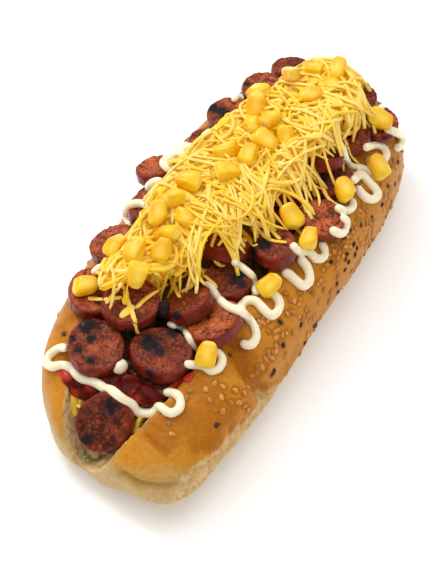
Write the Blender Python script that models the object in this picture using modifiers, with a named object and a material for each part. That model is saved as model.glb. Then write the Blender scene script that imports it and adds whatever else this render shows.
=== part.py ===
"""Choripan: a long soft roll, split along the top and opened wide, filled with pickle
relish and heaped with grilled sausage cut in thick slices, a ridge of shredded cheese
and kernels of sweetcorn.

Frame: metres, +Z up, +Y along the roll with its split front end at -Y, +X to the
right of it, and the origin at the centre of the underside.
"""
import math
import random
from collections import namedtuple

import bmesh
import bpy
from mathutils import Matrix, Vector
from mathutils.bvhtree import BVHTree

MM = 0.001
NAME = "choripan"

# Roll: outer size, and the level at which it is widest.
BUN_LENGTH = 214 * MM
BUN_WIDTH = 91 * MM
BUN_HEIGHT = 43 * MM
BUN_WIDEST = 19 * MM
BUN_SINK = 2 * MM            # how much of the rounded underside is pressed flat
BUN_DOME_POWERS = {1: 2.5, -1: 3.1}  # section above the widest level, right and left
BUN_FOOT_POWER = 3.1         # section below it
BUN_END_POWERS = {-1: 2.4, 1: 6.0}  # how blunt the front and the back are, seen from the side
BUN_HEEL_POWER = 0.5         # how late the underside rises towards the ends
BUN_SKEW = 3 * MM            # the right half of the front end reaches further than the left
BUN_SKEW_POWER = 3           # how close to the end that starts
# How square each corner is in plan: front right, front left, back right, back left.
CORNER_POWERS = {(1, -1): 6.0, (-1, -1): 2.7, (1, 1): 3.7, (-1, 1): 3.2}
LIP_LEVEL = 11 * MM          # crease above the bulging foot of the crust
LIP_HEIGHT = 2 * MM
LIP_DEPTH = 0.035            # as a share of the width
BUN_SEGMENTS = 42
BUN_RINGS = 25
BUN_RING_POWER = 4.0         # a higher power crowds the rings towards both ends

# Slot: the opened split, as a long boat shape that runs out through the front end.
SLOT_HALF_WIDTH = 27 * MM
SLOT_OFFSET = -2 * MM         # the split runs a little left of the middle
SLOT_HALF_LENGTH = 109 * MM
SLOT_CENTRE = -10 * MM
SLOT_FLOOR = 6.5 * MM
SLOT_RIM = 38 * MM
SLOT_PLAN_POWER = 2.2
SLOT_SECTION_POWER = 1.7
SLOT_FLOOR_POWER = 6.0
CUT_ABOVE = 35 * MM          # how far the cutter reaches above the rims
CUT_TOP_POWER = 6.0
SLOT_SEGMENTS = 20
SLOT_RINGS = 18
SLOT_RING_POWER = 3.0

# Relish: the bed of chopped pickle that fills the slot below the sausage.
BED_FRONT = -103 * MM
BED_BACK = 92 * MM
BED_TOP = 34 * MM
BED_TOE = 9 * MM             # its height where it shows under the front slice
BED_RAMP = (-101 * MM, -81 * MM)
BED_GAP = 1.0 * MM
BED_CROWN = 1.2 * MM
BED_WAVES = 0.6 * MM
BED_WAVE_LENGTHS = (3.3 * MM, 4.1 * MM)  # across and along, over a full turn in radians
BED_END_POWER = 8.0
BED_SIDE_POWER = 1.2
BED_SEGMENTS = 16
BED_RINGS = 20
BED_RING_POWER = 6.0

# Sausage slices.
SLICE_SIDES = 18
SLICE_BEVEL = 0.9 * MM
SLICE_BEVEL_ANGLE = 50       # degrees: edges sharper than this are rounded
SLICE_WAVES = (2, 3, 5)      # how many times each wave goes round the rim
SLICE_UNEVEN = 0.035
SLICE_OVAL = 0.04
SLICE_SKEW = 0.06            # how far from square the cut is

# Shredded cheese, as one mound. Its edges are given in millimetres: place along the roll, then
# how far across the left and the right edge lie there.
CHEESE_EDGES = (
    (-62, -21, -15),
    (-50, -26, -8),
    (-40, -27, -2),
    (-28, -26, 3),
    (-14, -24, 5),
    (0, -25, 9),
    (12, -25, 14),
    (25, -26, 16),
    (40, -24, 19),
    (55, -18, 19),
    (70, -13, 21),
    (85, -13, 20),
    (95, -10, 14),
)
CHEESE_CREST = 59 * MM       # height of its crest and of its edges
CHEESE_SKIRT = 45 * MM
CHEESE_THIN = 2.0 * MM
CHEESE_REACHES = (2.7 * MM, 5.5 * MM)  # how far round a point its underside looks for the pile
CHEESE_GAP = 0.9 * MM
CHEESE_GAP_STEP = 0.2 * MM
CHEESE_PLAN_POWER = 5.0      # how bluntly its ends close, and how steeply its crest starts there
CHEESE_END_POWER = 4.0
CHEESE_CROWN_POWER = 1.9
CHEESE_LUMP = 0.08           # height of its lumps as a share of the mound's, and their lengths
CHEESE_LUMP_LENGTHS = (5.0 * MM, 6.5 * MM)
CHEESE_SEGMENTS = 16
CHEESE_RINGS = 28
CHEESE_RING_POWER = 3.0

# Sweetcorn kernels: crown width, height from tip to crown, thickness.
KERNEL_SIZE = (8.5 * MM, 9.9 * MM, 6.4 * MM)
KERNEL_SPREAD = (0.92, 1.06)  # smallest and largest, and thinnest and plumpest
KERNEL_PLUMP = (0.90, 1.12)
KERNEL_TAPER = 0.28
KERNEL_TAPER_START = 0.3     # where the wedge has its plain width, as a share of the half-length
KERNEL_CROWN_POWER = 2.6
KERNEL_CUT_POWER = 4.5       # blunter, where it was cut from the cob
KERNEL_SQUARE = 0.7
KERNEL_SEGMENTS = 8
KERNEL_RINGS = 6

# Settling: a piece comes down until it touches, then keeps this gap.
LOOK_FROM = 120 * MM
DROP_STEP = 1.0 * MM
DROP_FINE = 0.05 * MM
REST_GAP = 0.35 * MM
SLICE_SLIPS = (1.2 * MM, 2.4 * MM)
SLICE_TIPS = (5, 10)         # degrees
KERNEL_SLIPS = (0.8 * MM,)
SLIP_COST = 0.35

Slice = namedtuple("Slice", "across along lean toward wide thick")
Kernel = namedtuple("Kernel", "across along lean toward turn")

# Where each slice lies, in millimetres, and how its face is tipped, in degrees from
# lying flat and towards which side (0 right, 90 back, 180 left, -90 front).
# Lower pieces come first, because the later ones rest on them.
SLICES = [
    Slice(4.5, -94, 45, -75, 23.0, 7.0),
    Slice(-14, -73, 12, -100, 23.5, 7.0),
    Slice(9, -63, 10, -60, 24.0, 7.0),
    Slice(21, -42, 11, -175, 22.0, 6.5),
    Slice(15, -19, 18, -125, 18.5, 6.5),
    Slice(14, 19, 12, -60, 17.0, 6.0),
    Slice(32, 25, 16, -60, 18.0, 6.5),
    Slice(26, 44, 10, -90, 17.5, 6.0),
    Slice(22, 68, 12, -120, 17.0, 6.0),
    Slice(28, 81, 14, -60, 16.0, 6.0),
    Slice(-27, -51, 8, 160, 22.5, 6.5),
    Slice(-17, -22, 8, 150, 18.0, 6.0),
    Slice(-32, -27, 16, -170, 20.5, 7.0),
    Slice(-31, 3, 18, 170, 16.0, 6.0),
    Slice(-27, 38, 14, 180, 16.0, 6.0),
    Slice(-22, 75, 14, 160, 18.0, 6.5),
    Slice(14, 92, 10, 60, 15.0, 6.0),
    Slice(-10, -53, 8, -80, 23.0, 6.5),
    Slice(8, -41, 22, -170, 20.0, 6.5),
    Slice(6, -10, 24, 95, 21.0, 6.5),
    Slice(23, 1, 12, 110, 18.5, 7.0),
    Slice(17, 30, 20, 142, 17.0, 6.5),
    Slice(20, 52, 12, 110, 18.0, 6.5),
    Slice(-27, -10, 12, 150, 17.0, 6.0),
    Slice(-35, 12, 20, 175, 17.0, 6.0),
    Slice(-27, 55, 16, 165, 18.5, 6.5),
    Slice(-18, 92, 14, 120, 16.5, 6.0),
]

# Where each kernel lies, its lean and, as a turn anticlockwise, which way its crown points
# (0 back, 90 left, 180 front). The first and the last seven lie beside the cheese.
KERNELS = [
    Kernel(-30, -54, 15, -60, 125),
    Kernel(-24, -39, 40, -96, 174),
    Kernel(-15, -41, 30, -80, 190),
    Kernel(-9, -50, 42, -60, 20),
    Kernel(-7, -35, 45, -81, 190),
    Kernel(-10, -25, 28, 150, -91),
    Kernel(-16, -21, 30, -60, -151),
    Kernel(-9, -15, 25, -40, 74),
    Kernel(-15, -12, 20, 100, -20),
    Kernel(-16, 1, 15, 150, -80),
    Kernel(-5, 14, 30, 30, 140),
    Kernel(-11, 25, 20, 150, 170),
    Kernel(-2, 26, 20, -60, 180),
    Kernel(-9, 42, 20, 140, 30),
    Kernel(-4, 46, 20, 90, 0),
    Kernel(0, 37, 25, -50, 85),
    Kernel(6, 43, 42, -60, 30),
    Kernel(-13, 52, 50, -60, -151),
    Kernel(-16, 60, 30, 160, -105),
    Kernel(-9, 75, 40, 119, 29),
    Kernel(-3, 83, 20, 120, -61),
    Kernel(5, 87, 20, -80, -171),
    Kernel(3, 69, 30, -70, 110),
    Kernel(29, 81, 35, -30, 105),
    Kernel(36, 66, 30, -20, -110),
    Kernel(34, 40, 30, -40, -120),
    Kernel(33, 13, 25, -60, -160),
    Kernel(24, 14, 40, -50, -120),
    Kernel(30, -15, 35, -50, 164),
    Kernel(25, -56, 40, -70, -161),
]

COLOURS = {
    "bun": ((0.62, 0.36, 0.12), 0.45),
    "relish": ((0.30, 0.30, 0.08), 0.40),
    "sausage": ((0.32, 0.07, 0.03), 0.40),
    "cheese": ((0.90, 0.62, 0.12), 0.50),
    "corn": ((0.93, 0.58, 0.03), 0.30),
}


def clear_scene():
    for obj in list(bpy.data.objects):
        bpy.data.objects.remove(obj, do_unlink=True)


def new_collection(name):
    collection = bpy.data.collections.new(name)
    bpy.context.scene.collection.children.link(collection)
    return collection


def new_material(name, food):
    colour, roughness = COLOURS[food]
    material = bpy.data.materials.new(name)
    material.use_nodes = True
    shader = material.node_tree.nodes["Principled BSDF"]
    shader.inputs["Base Color"].default_value = (*colour, 1.0)
    shader.inputs["Roughness"].default_value = roughness
    shader.inputs["Metallic"].default_value = 0.0
    return material


def new_object(name, bm, collection, parent=None, food=None):
    mesh = bpy.data.meshes.new(name)
    bmesh.ops.recalc_face_normals(bm, faces=bm.faces)
    bm.to_mesh(mesh)
    bm.free()
    mesh.shade_smooth()
    obj = bpy.data.objects.new(name, mesh)
    collection.objects.link(obj)
    obj.parent = parent
    if food:
        mesh.materials.append(new_material(name, food))
    return obj


def power_curve(share, power):
    """Height of a unit superellipse at this share of its half-length."""
    return max(0.0, 1.0 - min(1.0, abs(share)) ** power) ** (1.0 / power)


def signed_power(value, power):
    return math.copysign(abs(value) ** power, value)


def smooth_step(value, low, high):
    share = min(1.0, max(0.0, (value - low) / (high - low)))
    return share * share * (3.0 - 2.0 * share)


def ball_along_y(segments, rings):
    """A unit sphere whose rings lie across Y, to be shaped point by point."""
    bm = bmesh.new()
    bmesh.ops.create_uvsphere(bm, u_segments=segments, v_segments=rings, radius=1.0)
    bmesh.ops.rotate(bm, verts=bm.verts, cent=(0, 0, 0), matrix=Matrix.Rotation(math.pi / 2, 3, "X"))
    return bm


def ring_place(point, end_power):
    """Of a point on the unit sphere: its share along Y, and its cosine and sine round the ring."""
    along = signed_power(point.y, 2.0 / end_power)
    radius = math.hypot(point.x, point.z)
    if radius < 1e-6:
        return math.copysign(1.0, point.y), 0.0, 0.0
    return along, point.x / radius, point.z / radius


def shape_bun(point):
    along, cosine, sine = ring_place(point, BUN_RING_POWER)
    side = 1 if cosine >= 0 else -1
    end = 1 if along >= 0 else -1
    half_width = BUN_WIDTH / 2 * power_curve(along, CORNER_POWERS[side, end])
    fullness = power_curve(along, BUN_END_POWERS[end])
    if sine >= 0:
        rise = (BUN_HEIGHT - BUN_WIDEST) * fullness
        across = half_width * signed_power(cosine, 2.0 / BUN_DOME_POWERS[side])
        height = BUN_WIDEST + rise * sine ** (2.0 / BUN_DOME_POWERS[side])
    else:
        drop = (BUN_WIDEST + BUN_SINK) * fullness ** BUN_HEEL_POWER
        across = half_width * signed_power(cosine, 2.0 / BUN_FOOT_POWER)
        height = BUN_WIDEST - drop * (-sine) ** (2.0 / BUN_FOOT_POWER)
    across *= 1.0 - LIP_DEPTH * math.exp(-(((height - LIP_LEVEL) / LIP_HEIGHT) ** 2))
    y = along * BUN_LENGTH / 2
    if end < 0:
        y -= BUN_SKEW * (across / (BUN_WIDTH / 2)) * abs(along) ** BUN_SKEW_POWER
    return Vector((across, y, max(0.0, height)))


def slot_half_width(y):
    return SLOT_HALF_WIDTH * power_curve((y - SLOT_CENTRE) / SLOT_HALF_LENGTH, SLOT_PLAN_POWER)


def slot_floor(y):
    lift = 1.0 - power_curve((y - SLOT_CENTRE) / SLOT_HALF_LENGTH, SLOT_FLOOR_POWER)
    return SLOT_FLOOR + (SLOT_RIM - SLOT_FLOOR) * lift


def slot_half_width_at(y, z):
    """Half-width of the slot at a height between its floor and its rims."""
    floor = slot_floor(y)
    depth = (SLOT_RIM - z) / (SLOT_RIM - floor)
    return slot_half_width(y) * power_curve(depth, SLOT_SECTION_POWER)


def shape_slot(point):
    along, cosine, sine = ring_place(point, SLOT_RING_POWER)
    y = SLOT_CENTRE + along * SLOT_HALF_LENGTH
    if sine >= 0:
        across = SLOT_OFFSET + slot_half_width(y) * signed_power(cosine, 2.0 / CUT_TOP_POWER)
        return Vector((across, y, SLOT_RIM + CUT_ABOVE * sine ** (2.0 / CUT_TOP_POWER)))
    across = SLOT_OFFSET + slot_half_width(y) * signed_power(cosine, 2.0 / SLOT_SECTION_POWER)
    depth = (SLOT_RIM - slot_floor(y)) * (-sine) ** (2.0 / SLOT_SECTION_POWER)
    return Vector((across, y, SLOT_RIM - depth))


def bed_top(y):
    return BED_TOE + (BED_TOP - BED_TOE) * smooth_step(y, *BED_RAMP)


def shape_bed(point):
    """The bed follows the slot's walls and floor, up to its own uneven top."""
    along, cosine, sine = ring_place(point, BED_RING_POWER)
    y = (BED_FRONT + BED_BACK) / 2 + along * (BED_BACK - BED_FRONT) / 2
    closing = power_curve(along, BED_END_POWER)
    floor = slot_floor(y) + BED_GAP
    top = max(bed_top(y), floor + BED_GAP)
    if sine > 0:
        across = SLOT_OFFSET + cosine * (slot_half_width_at(y, top) - BED_GAP) * closing
        waves = BED_WAVES * math.sin(y / BED_WAVE_LENGTHS[1]) * math.cos(across / BED_WAVE_LENGTHS[0])
        return Vector((across, y, top + BED_CROWN * sine + waves * sine))
    height = top - (top - floor) * closing * (-sine) ** BED_SIDE_POWER
    half_width = max(0.0, slot_half_width_at(y, height) - BED_GAP) * closing
    across = math.copysign(half_width, cosine) if abs(cosine) > 1e-6 else 0.0
    return Vector((SLOT_OFFSET + across, y, height))


def shaped_ball(name, segments, rings, shape, collection, parent=None, food=None):
    bm = ball_along_y(segments, rings)
    for vert in bm.verts:
        vert.co = shape(vert.co)
    return new_object(name, bm, collection, parent, food)


def make_bun(collection, cutters, parent):
    bun = shaped_ball("bun", BUN_SEGMENTS, BUN_RINGS, shape_bun, collection, parent, "bun")
    cutter = shaped_ball("slot_cutter", SLOT_SEGMENTS, SLOT_RINGS, shape_slot, cutters)
    cutter.hide_render = True
    cutter.display_type = "WIRE"
    cut = bun.modifiers.new("slot", "BOOLEAN")
    cut.operation = "DIFFERENCE"
    cut.solver = "EXACT"
    cut.object = cutter
    return bun


def tilt_matrix(lean, toward, turn=0.0):
    """Tips the piece's +Z by lean degrees towards a compass direction, after turning it."""
    heading = math.radians(toward)
    axis = Vector((-math.sin(heading), math.cos(heading), 0.0))
    tip = Matrix.Rotation(math.radians(lean), 3, axis)
    return tip @ Matrix.Rotation(math.radians(turn), 3, "Z")


def make_slice(name, place, rng, collection, parent):
    bm = bmesh.new()
    radius = place.wide * MM / 2
    bmesh.ops.create_cone(
        bm, cap_ends=True, segments=SLICE_SIDES, radius1=radius, radius2=radius,
        depth=place.thick * MM)
    bumps = [(count, rng.uniform(0, 2 * math.pi), SLICE_UNEVEN / count) for count in SLICE_WAVES]
    skew = Vector((rng.uniform(-SLICE_SKEW, SLICE_SKEW), rng.uniform(-SLICE_SKEW, SLICE_SKEW), 0.0))
    for vert in bm.verts:
        angle = math.atan2(vert.co.y, vert.co.x)
        swell = 1.0 + sum(size * math.cos(count * angle + phase) for count, phase, size in bumps)
        lift = vert.co.z
        vert.co = Vector((vert.co.x * swell * (1 + SLICE_OVAL), vert.co.y * swell * (1 - SLICE_OVAL), lift))
        vert.co += skew * lift
    obj = new_object(name, bm, collection, parent, "sausage")
    bevel = obj.modifiers.new("rounded_edges", "BEVEL")
    bevel.width = SLICE_BEVEL
    bevel.segments = 1
    bevel.limit_method = "ANGLE"
    bevel.angle_limit = math.radians(SLICE_BEVEL_ANGLE)
    obj.rotation_euler = tilt_matrix(place.lean, place.toward, rng.uniform(0, 180)).to_euler()
    return obj


def make_kernel(name, place, rng, collection, parent):
    """A rounded wedge: broad crown at +Y, narrow tip at -Y, flat between its faces."""
    bm = ball_along_y(KERNEL_SEGMENTS, KERNEL_RINGS)
    size = rng.uniform(*KERNEL_SPREAD)
    plump = rng.uniform(*KERNEL_PLUMP)
    for vert in bm.verts:
        power = KERNEL_CROWN_POWER if vert.co.y > 0 else KERNEL_CUT_POWER
        along, cosine, sine = ring_place(vert.co, power)
        girth = power_curve(along, power) * (1.0 + KERNEL_TAPER * (along - KERNEL_TAPER_START))
        vert.co = Vector((
            KERNEL_SIZE[0] / 2 * size * girth * signed_power(cosine, KERNEL_SQUARE),
            KERNEL_SIZE[1] / 2 * size * along,
            KERNEL_SIZE[2] / 2 * size * plump * girth * signed_power(sine, KERNEL_SQUARE)))
    obj = new_object(name, bm, collection, parent, "corn")
    obj.rotation_euler = tilt_matrix(place.lean, place.toward, place.turn).to_euler()
    return obj


def local_shape(obj):
    """The evaluated object's points in its own frame, and its triangles."""
    bpy.context.view_layer.update()
    evaluated = obj.evaluated_get(bpy.context.evaluated_depsgraph_get())
    mesh = evaluated.to_mesh()
    points = [vert.co.copy() for vert in mesh.vertices]
    mesh.calc_loop_triangles()
    faces = [tuple(face.vertices) for face in mesh.loop_triangles]
    evaluated.to_mesh_clear()
    return points, faces


def around(reaches):
    """The middle, then eight directions at each reach."""
    yield 0.0, 0.0
    for reach in reaches:
        for turn in range(8):
            angle = turn * math.pi / 4
            yield reach * math.cos(angle), reach * math.sin(angle)


class Pile:
    """What has been laid down so far, as shapes that a new piece can come to rest on."""

    def __init__(self):
        self.shapes = []

    def add(self, obj):
        points, faces = local_shape(obj)
        points = [obj.matrix_world @ point for point in points]
        low = [min(point[axis] for point in points) for axis in range(2)]
        high = [max(point[axis] for point in points) for axis in range(2)]
        top = max(point.z for point in points)
        self.shapes.append((low, high, BVHTree.FromPolygons(points, faces), top))

    def touches(self, points, faces, lift):
        moved = [point + Vector((0.0, 0.0, lift)) for point in points]
        low = [min(point[axis] for point in moved) for axis in range(2)]
        high = [max(point[axis] for point in moved) for axis in range(2)]
        tree = None
        for other_low, other_high, other, _top in self.shapes:
            if any(low[axis] > other_high[axis] or high[axis] < other_low[axis] for axis in range(2)):
                continue
            tree = tree or BVHTree.FromPolygons(moved, faces)
            if tree.overlap(other):
                return True
        return False

    def drop(self, points, faces, start):
        """How high the piece hangs when it first touches on its way down."""
        lift = start
        while lift > 0 and not self.touches(points, faces, lift - DROP_STEP):
            lift -= DROP_STEP
        while lift > 0 and not self.touches(points, faces, lift - DROP_FINE):
            lift -= DROP_FINE
        return lift

    def lay(self, obj, across, along, slips, tips=()):
        """Lowers the piece over its place, lets it slip and tip to lie lower, and adds it."""
        points, faces = local_shape(obj)
        turned = obj.rotation_euler.to_matrix()

        def lift_at(x, y, matrix):
            moved = [matrix @ point + Vector((x, y, 0.0)) for point in points]
            return self.drop(moved, faces, self.height_under(moved) + DROP_STEP)

        lifts = []
        for slip_x, slip_y in around(slips):
            lift = lift_at(across + slip_x, along + slip_y, turned)
            lifts.append((lift + SLIP_COST * math.hypot(slip_x, slip_y), across + slip_x, along + slip_y))
        lift, x, y = min(lifts)
        tipped = []
        for tip_x, tip_y in around(tips):
            matrix = turned
            if tip_x or tip_y:
                angle = math.radians(math.hypot(tip_x, tip_y))
                matrix = Matrix.Rotation(angle, 3, Vector((-tip_y, tip_x, 0.0)).normalized()) @ turned
            tipped.append((lift_at(x, y, matrix), len(tipped), matrix))
        lift, _, matrix = min(tipped)
        obj.location = (x, y, lift + REST_GAP)
        obj.rotation_euler = matrix.to_euler()
        self.add(obj)

    def height_under(self, points):
        """A lift at which the piece is clear of everything below it."""
        low = [min(point[axis] for point in points) for axis in range(3)]
        high = [max(point[axis] for point in points) for axis in range(2)]
        tallest = 0.0
        for other_low, other_high, _tree, top in self.shapes:
            if all(low[axis] <= other_high[axis] and high[axis] >= other_low[axis] for axis in range(2)):
                tallest = max(tallest, top)
        return tallest - low[2]

    def height(self, x, y):
        """Height of the pile's top at this place, or zero beside it."""
        best = 0.0
        for low, high, tree, _top in self.shapes:
            if low[0] <= x <= high[0] and low[1] <= y <= high[1]:
                hit = tree.ray_cast(Vector((x, y, LOOK_FROM)), Vector((0, 0, -1)))[0]
                if hit:
                    best = max(best, hit.z)
        return best


def cheese_edges(y):
    """The mound's left and right edges at this place along the roll."""
    for (low, *low_edges), (high, *high_edges) in zip(CHEESE_EDGES, CHEESE_EDGES[1:]):
        if y <= high * MM:
            break
    share = smooth_step(y, low * MM, high * MM)
    return [(start + (end - start) * share) * MM for start, end in zip(low_edges, high_edges)]


def cheese_mesh(pile, gap):
    """The mound's mesh, with its underside this far above the highest thing close below."""
    bm = ball_along_y(CHEESE_SEGMENTS, CHEESE_RINGS)
    front, back = CHEESE_EDGES[0][0] * MM, CHEESE_EDGES[-1][0] * MM
    for vert in bm.verts:
        along, cosine, sine = ring_place(vert.co, CHEESE_RING_POWER)
        y = (front + back) / 2 + along * (back - front) / 2
        left, right = cheese_edges(y)
        x = (left + right) / 2 + (right - left) / 2 * power_curve(along, CHEESE_PLAN_POWER) * cosine
        under = gap + max(pile.height(x + dx, y + dy) for dx, dy in around(CHEESE_REACHES))
        if sine > 0:
            rise = power_curve(along, CHEESE_END_POWER) * power_curve(cosine, CHEESE_CROWN_POWER)
            across, length = CHEESE_LUMP_LENGTHS
            lumps = 1.0 + CHEESE_LUMP * math.sin(y / length) * math.cos(x / across)
            crown = CHEESE_SKIRT + (CHEESE_CREST - CHEESE_SKIRT) * rise * lumps
            vert.co = Vector((x, y, max(crown, under + CHEESE_THIN)))
        elif sine < 0:
            vert.co = Vector((x, y, under))
        else:
            vert.co = Vector((x, y, under + CHEESE_THIN / 2))
    return bm


def make_cheese(pile, collection, parent):
    """A mound whose underside follows what it lies on, raised until it clears that everywhere."""
    gap = CHEESE_GAP
    while True:
        cheese = new_object("cheese_heap", cheese_mesh(pile, gap), collection, parent, "cheese")
        if not pile.touches(*local_shape(cheese), -REST_GAP):
            return cheese
        bpy.data.objects.remove(cheese, do_unlink=True)
        gap += CHEESE_GAP_STEP


def main():
    clear_scene()
    parts = new_collection(NAME)
    cutters = new_collection("cutters")
    origin = bpy.data.objects.new("choripan_origin", None)
    parts.objects.link(origin)

    pile = Pile()
    pile.add(make_bun(parts, cutters, origin))
    pile.add(shaped_ball("relish", BED_SEGMENTS, BED_RINGS, shape_bed, parts, origin, "relish"))
    for number, place in enumerate(SLICES, start=1):
        rng = random.Random(number)
        piece = make_slice(f"sausage_slice_{number:02d}", place, rng, parts, origin)
        pile.lay(piece, place.across * MM, place.along * MM, SLICE_SLIPS, SLICE_TIPS)
    pile.add(make_cheese(pile, parts, origin))
    for number, place in enumerate(KERNELS, start=1):
        rng = random.Random(100 + number)
        piece = make_kernel(f"corn_kernel_{number:02d}", place, rng, parts, origin)
        pile.lay(piece, place.across * MM, place.along * MM, KERNEL_SLIPS)


main()
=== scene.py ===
"""Choripan: a split sesame roll with grilled sausage slices, grated cheese, corn, mayonnaise and ketchup.

Dresses the packed solids of the roll. Each solid is replaced by a fine skin of the same place and size,
modelled in mesh code, and the toppings that are too many for solids are laid on one after another.
Lengths are metres. Places marked as pixels were read in the 430 x 573 photograph, and are cast
through its camera onto the food.
"""

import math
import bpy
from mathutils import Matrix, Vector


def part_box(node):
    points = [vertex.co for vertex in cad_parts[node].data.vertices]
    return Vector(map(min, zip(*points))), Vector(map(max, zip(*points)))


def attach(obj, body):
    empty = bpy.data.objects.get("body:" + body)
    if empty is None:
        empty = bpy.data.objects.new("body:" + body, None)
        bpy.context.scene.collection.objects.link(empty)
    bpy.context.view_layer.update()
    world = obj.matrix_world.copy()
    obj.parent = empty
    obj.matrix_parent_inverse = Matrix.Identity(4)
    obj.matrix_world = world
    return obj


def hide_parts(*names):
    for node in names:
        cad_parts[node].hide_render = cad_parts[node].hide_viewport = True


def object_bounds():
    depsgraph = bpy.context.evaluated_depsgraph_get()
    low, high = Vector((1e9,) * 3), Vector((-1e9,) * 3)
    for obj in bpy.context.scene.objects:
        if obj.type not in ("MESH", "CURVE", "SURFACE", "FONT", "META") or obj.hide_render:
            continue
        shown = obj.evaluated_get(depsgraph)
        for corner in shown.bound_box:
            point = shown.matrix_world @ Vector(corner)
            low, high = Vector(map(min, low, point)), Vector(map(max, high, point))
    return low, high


bl_info = {
    "name": "Choripan",
    "version": (1, 0, 0),
    "blender": (4, 5, 0),
    "location": "3D Viewport > Sidebar > Choripan",
    "description": "Makes a choripan's bread, sausage, corn, cheese, sauces and seeds around its solids",
    "category": "Object",
}

from itertools import product

import bpy
import numpy as np
from bpy.props import FloatProperty, FloatVectorProperty, IntProperty, PointerProperty
from mathutils import Matrix, Quaternion, Vector
from mathutils.bvhtree import BVHTree
from mathutils.kdtree import KDTree

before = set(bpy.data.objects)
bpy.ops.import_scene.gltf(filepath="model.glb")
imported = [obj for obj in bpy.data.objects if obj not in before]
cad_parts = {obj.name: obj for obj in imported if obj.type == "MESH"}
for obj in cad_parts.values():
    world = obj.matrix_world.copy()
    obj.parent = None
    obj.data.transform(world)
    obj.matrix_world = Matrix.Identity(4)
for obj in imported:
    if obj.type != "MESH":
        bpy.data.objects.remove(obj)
CAD_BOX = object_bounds()

MM = 0.001
BODY = "root"
SLICE_NODES = sorted(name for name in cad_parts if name.startswith("sausage_slice_"))
KERNEL_NODES = sorted(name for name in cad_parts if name.startswith("corn_kernel_"))
GRILLED = [node + "_grilled" for node in SLICE_NODES]

# Where the streams of random numbers start.
SHRED_SEED = 51
SESAME_SEED = 71
KERNEL_SEED = 300
LOOSE_KERNEL_SEED = 340

# ---------------------------------------------------------------- the photograph's camera

PHOTO_SIZE = (430, 573)
VIEW_TURN = math.radians(29.3)
VIEW_TILT = math.radians(50.0)
VIEW_DISTANCE = 1.15
PIXELS_PER_METRE = 2450.0
ORIGIN_PIXEL = (220.5, 302.0)
SENSOR_HEIGHT = 36.0


class PhotoView:
    """The photograph's camera: its place, its axes, and the ray through any pixel."""

    def __init__(self):
        flat = math.cos(VIEW_TILT)
        self.back = Vector((math.sin(VIEW_TURN) * flat, -math.cos(VIEW_TURN) * flat, math.sin(VIEW_TILT)))
        self.right = Vector((math.cos(VIEW_TURN), math.sin(VIEW_TURN), 0))
        self.up = self.back.cross(self.right)
        across, up = self.offset(ORIGIN_PIXEL)
        self.aim = -across * self.right - up * self.up
        self.eye = self.aim + self.back * VIEW_DISTANCE

    def offset(self, pixel):
        """How far a pixel lies right of and above the picture's middle, in metres at the aim's distance."""
        width, height = PHOTO_SIZE
        across, down = float(pixel[0]) - width / 2, float(pixel[1]) - height / 2
        return across / PIXELS_PER_METRE, -down / PIXELS_PER_METRE

    def ray(self, pixel):
        """The direction from the eye through a pixel."""
        across, up = self.offset(pixel)
        return (self.aim + across * self.right + up * self.up - self.eye).normalized()

    def matrix(self):
        """The camera object's place and turn."""
        turn = Matrix((self.right, self.up, self.back)).transposed().to_4x4()
        return Matrix.Translation(self.eye) @ turn


VIEW = PhotoView()

# ---------------------------------------------------------------- places read in the photograph

# Soft folds of the crust: lines of pixels, with depth and half width.
CRUST_FOLDS = (
    (((237, 343), (241, 357), (247, 371), (256, 384), (265, 391)), 3.4 * MM, 3.1 * MM),
    (((229, 352), (240, 362), (250, 377)), 0.5 * MM, 1.2 * MM),
    (((266, 366), (258, 374), (250, 377)), 0.4 * MM, 1.0 * MM),
    (((146, 436), (155, 445), (168, 453)), 0.8 * MM, 0.9 * MM),
    (((150, 424), (158, 430), (166, 432)), 0.5 * MM, 0.8 * MM),
    (((122, 474), (139, 483), (160, 487), (177, 485)), 2.3 * MM, 1.4 * MM),
    (((43, 428), (49, 436), (56, 443)), 1.3 * MM, 1.1 * MM),
)

# Where the crust is browner than round it, or paler: pixel x, y, radius in mm and how much. They are partly
# the crust's own colour, partly painted shade (the browner spots on the front right lobe and in the big
# fold's valley) and painted light (the paler spots on the right flank).
BAKED_AND_SHADED_SPOTS = (
    (182, 438, 12, 0.22), (204, 418, 10, 0.14), (150, 462, 12, 0.14), (250, 366, 5, 0.35),
    (262, 345, 9, -0.12), (245, 330, 8, -0.10), (186, 405, 8, -0.10), (238, 382, 7, -0.12),
    (60, 398, 7, -0.14), (51, 421, 6, 0.14), (290, 300, 12, -0.20),
    (345, 248, 14, -0.14), (366, 219, 14, -0.16), (386, 184, 14, -0.12),
)

# The upper edge of the pale band low on the right side, where the crust tore from the next roll.
TORN_EDGE = ((179, 486), (188, 472), (200, 462), (212, 455), (224, 444), (237, 429), (249, 414), (262, 395),
             (275, 382), (288, 368))

# The lip of the open front end, which is worn down: pixel, radius and depth.
WORN_LIP = ((101, 467), 7 * MM, 3.0 * MM)

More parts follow.
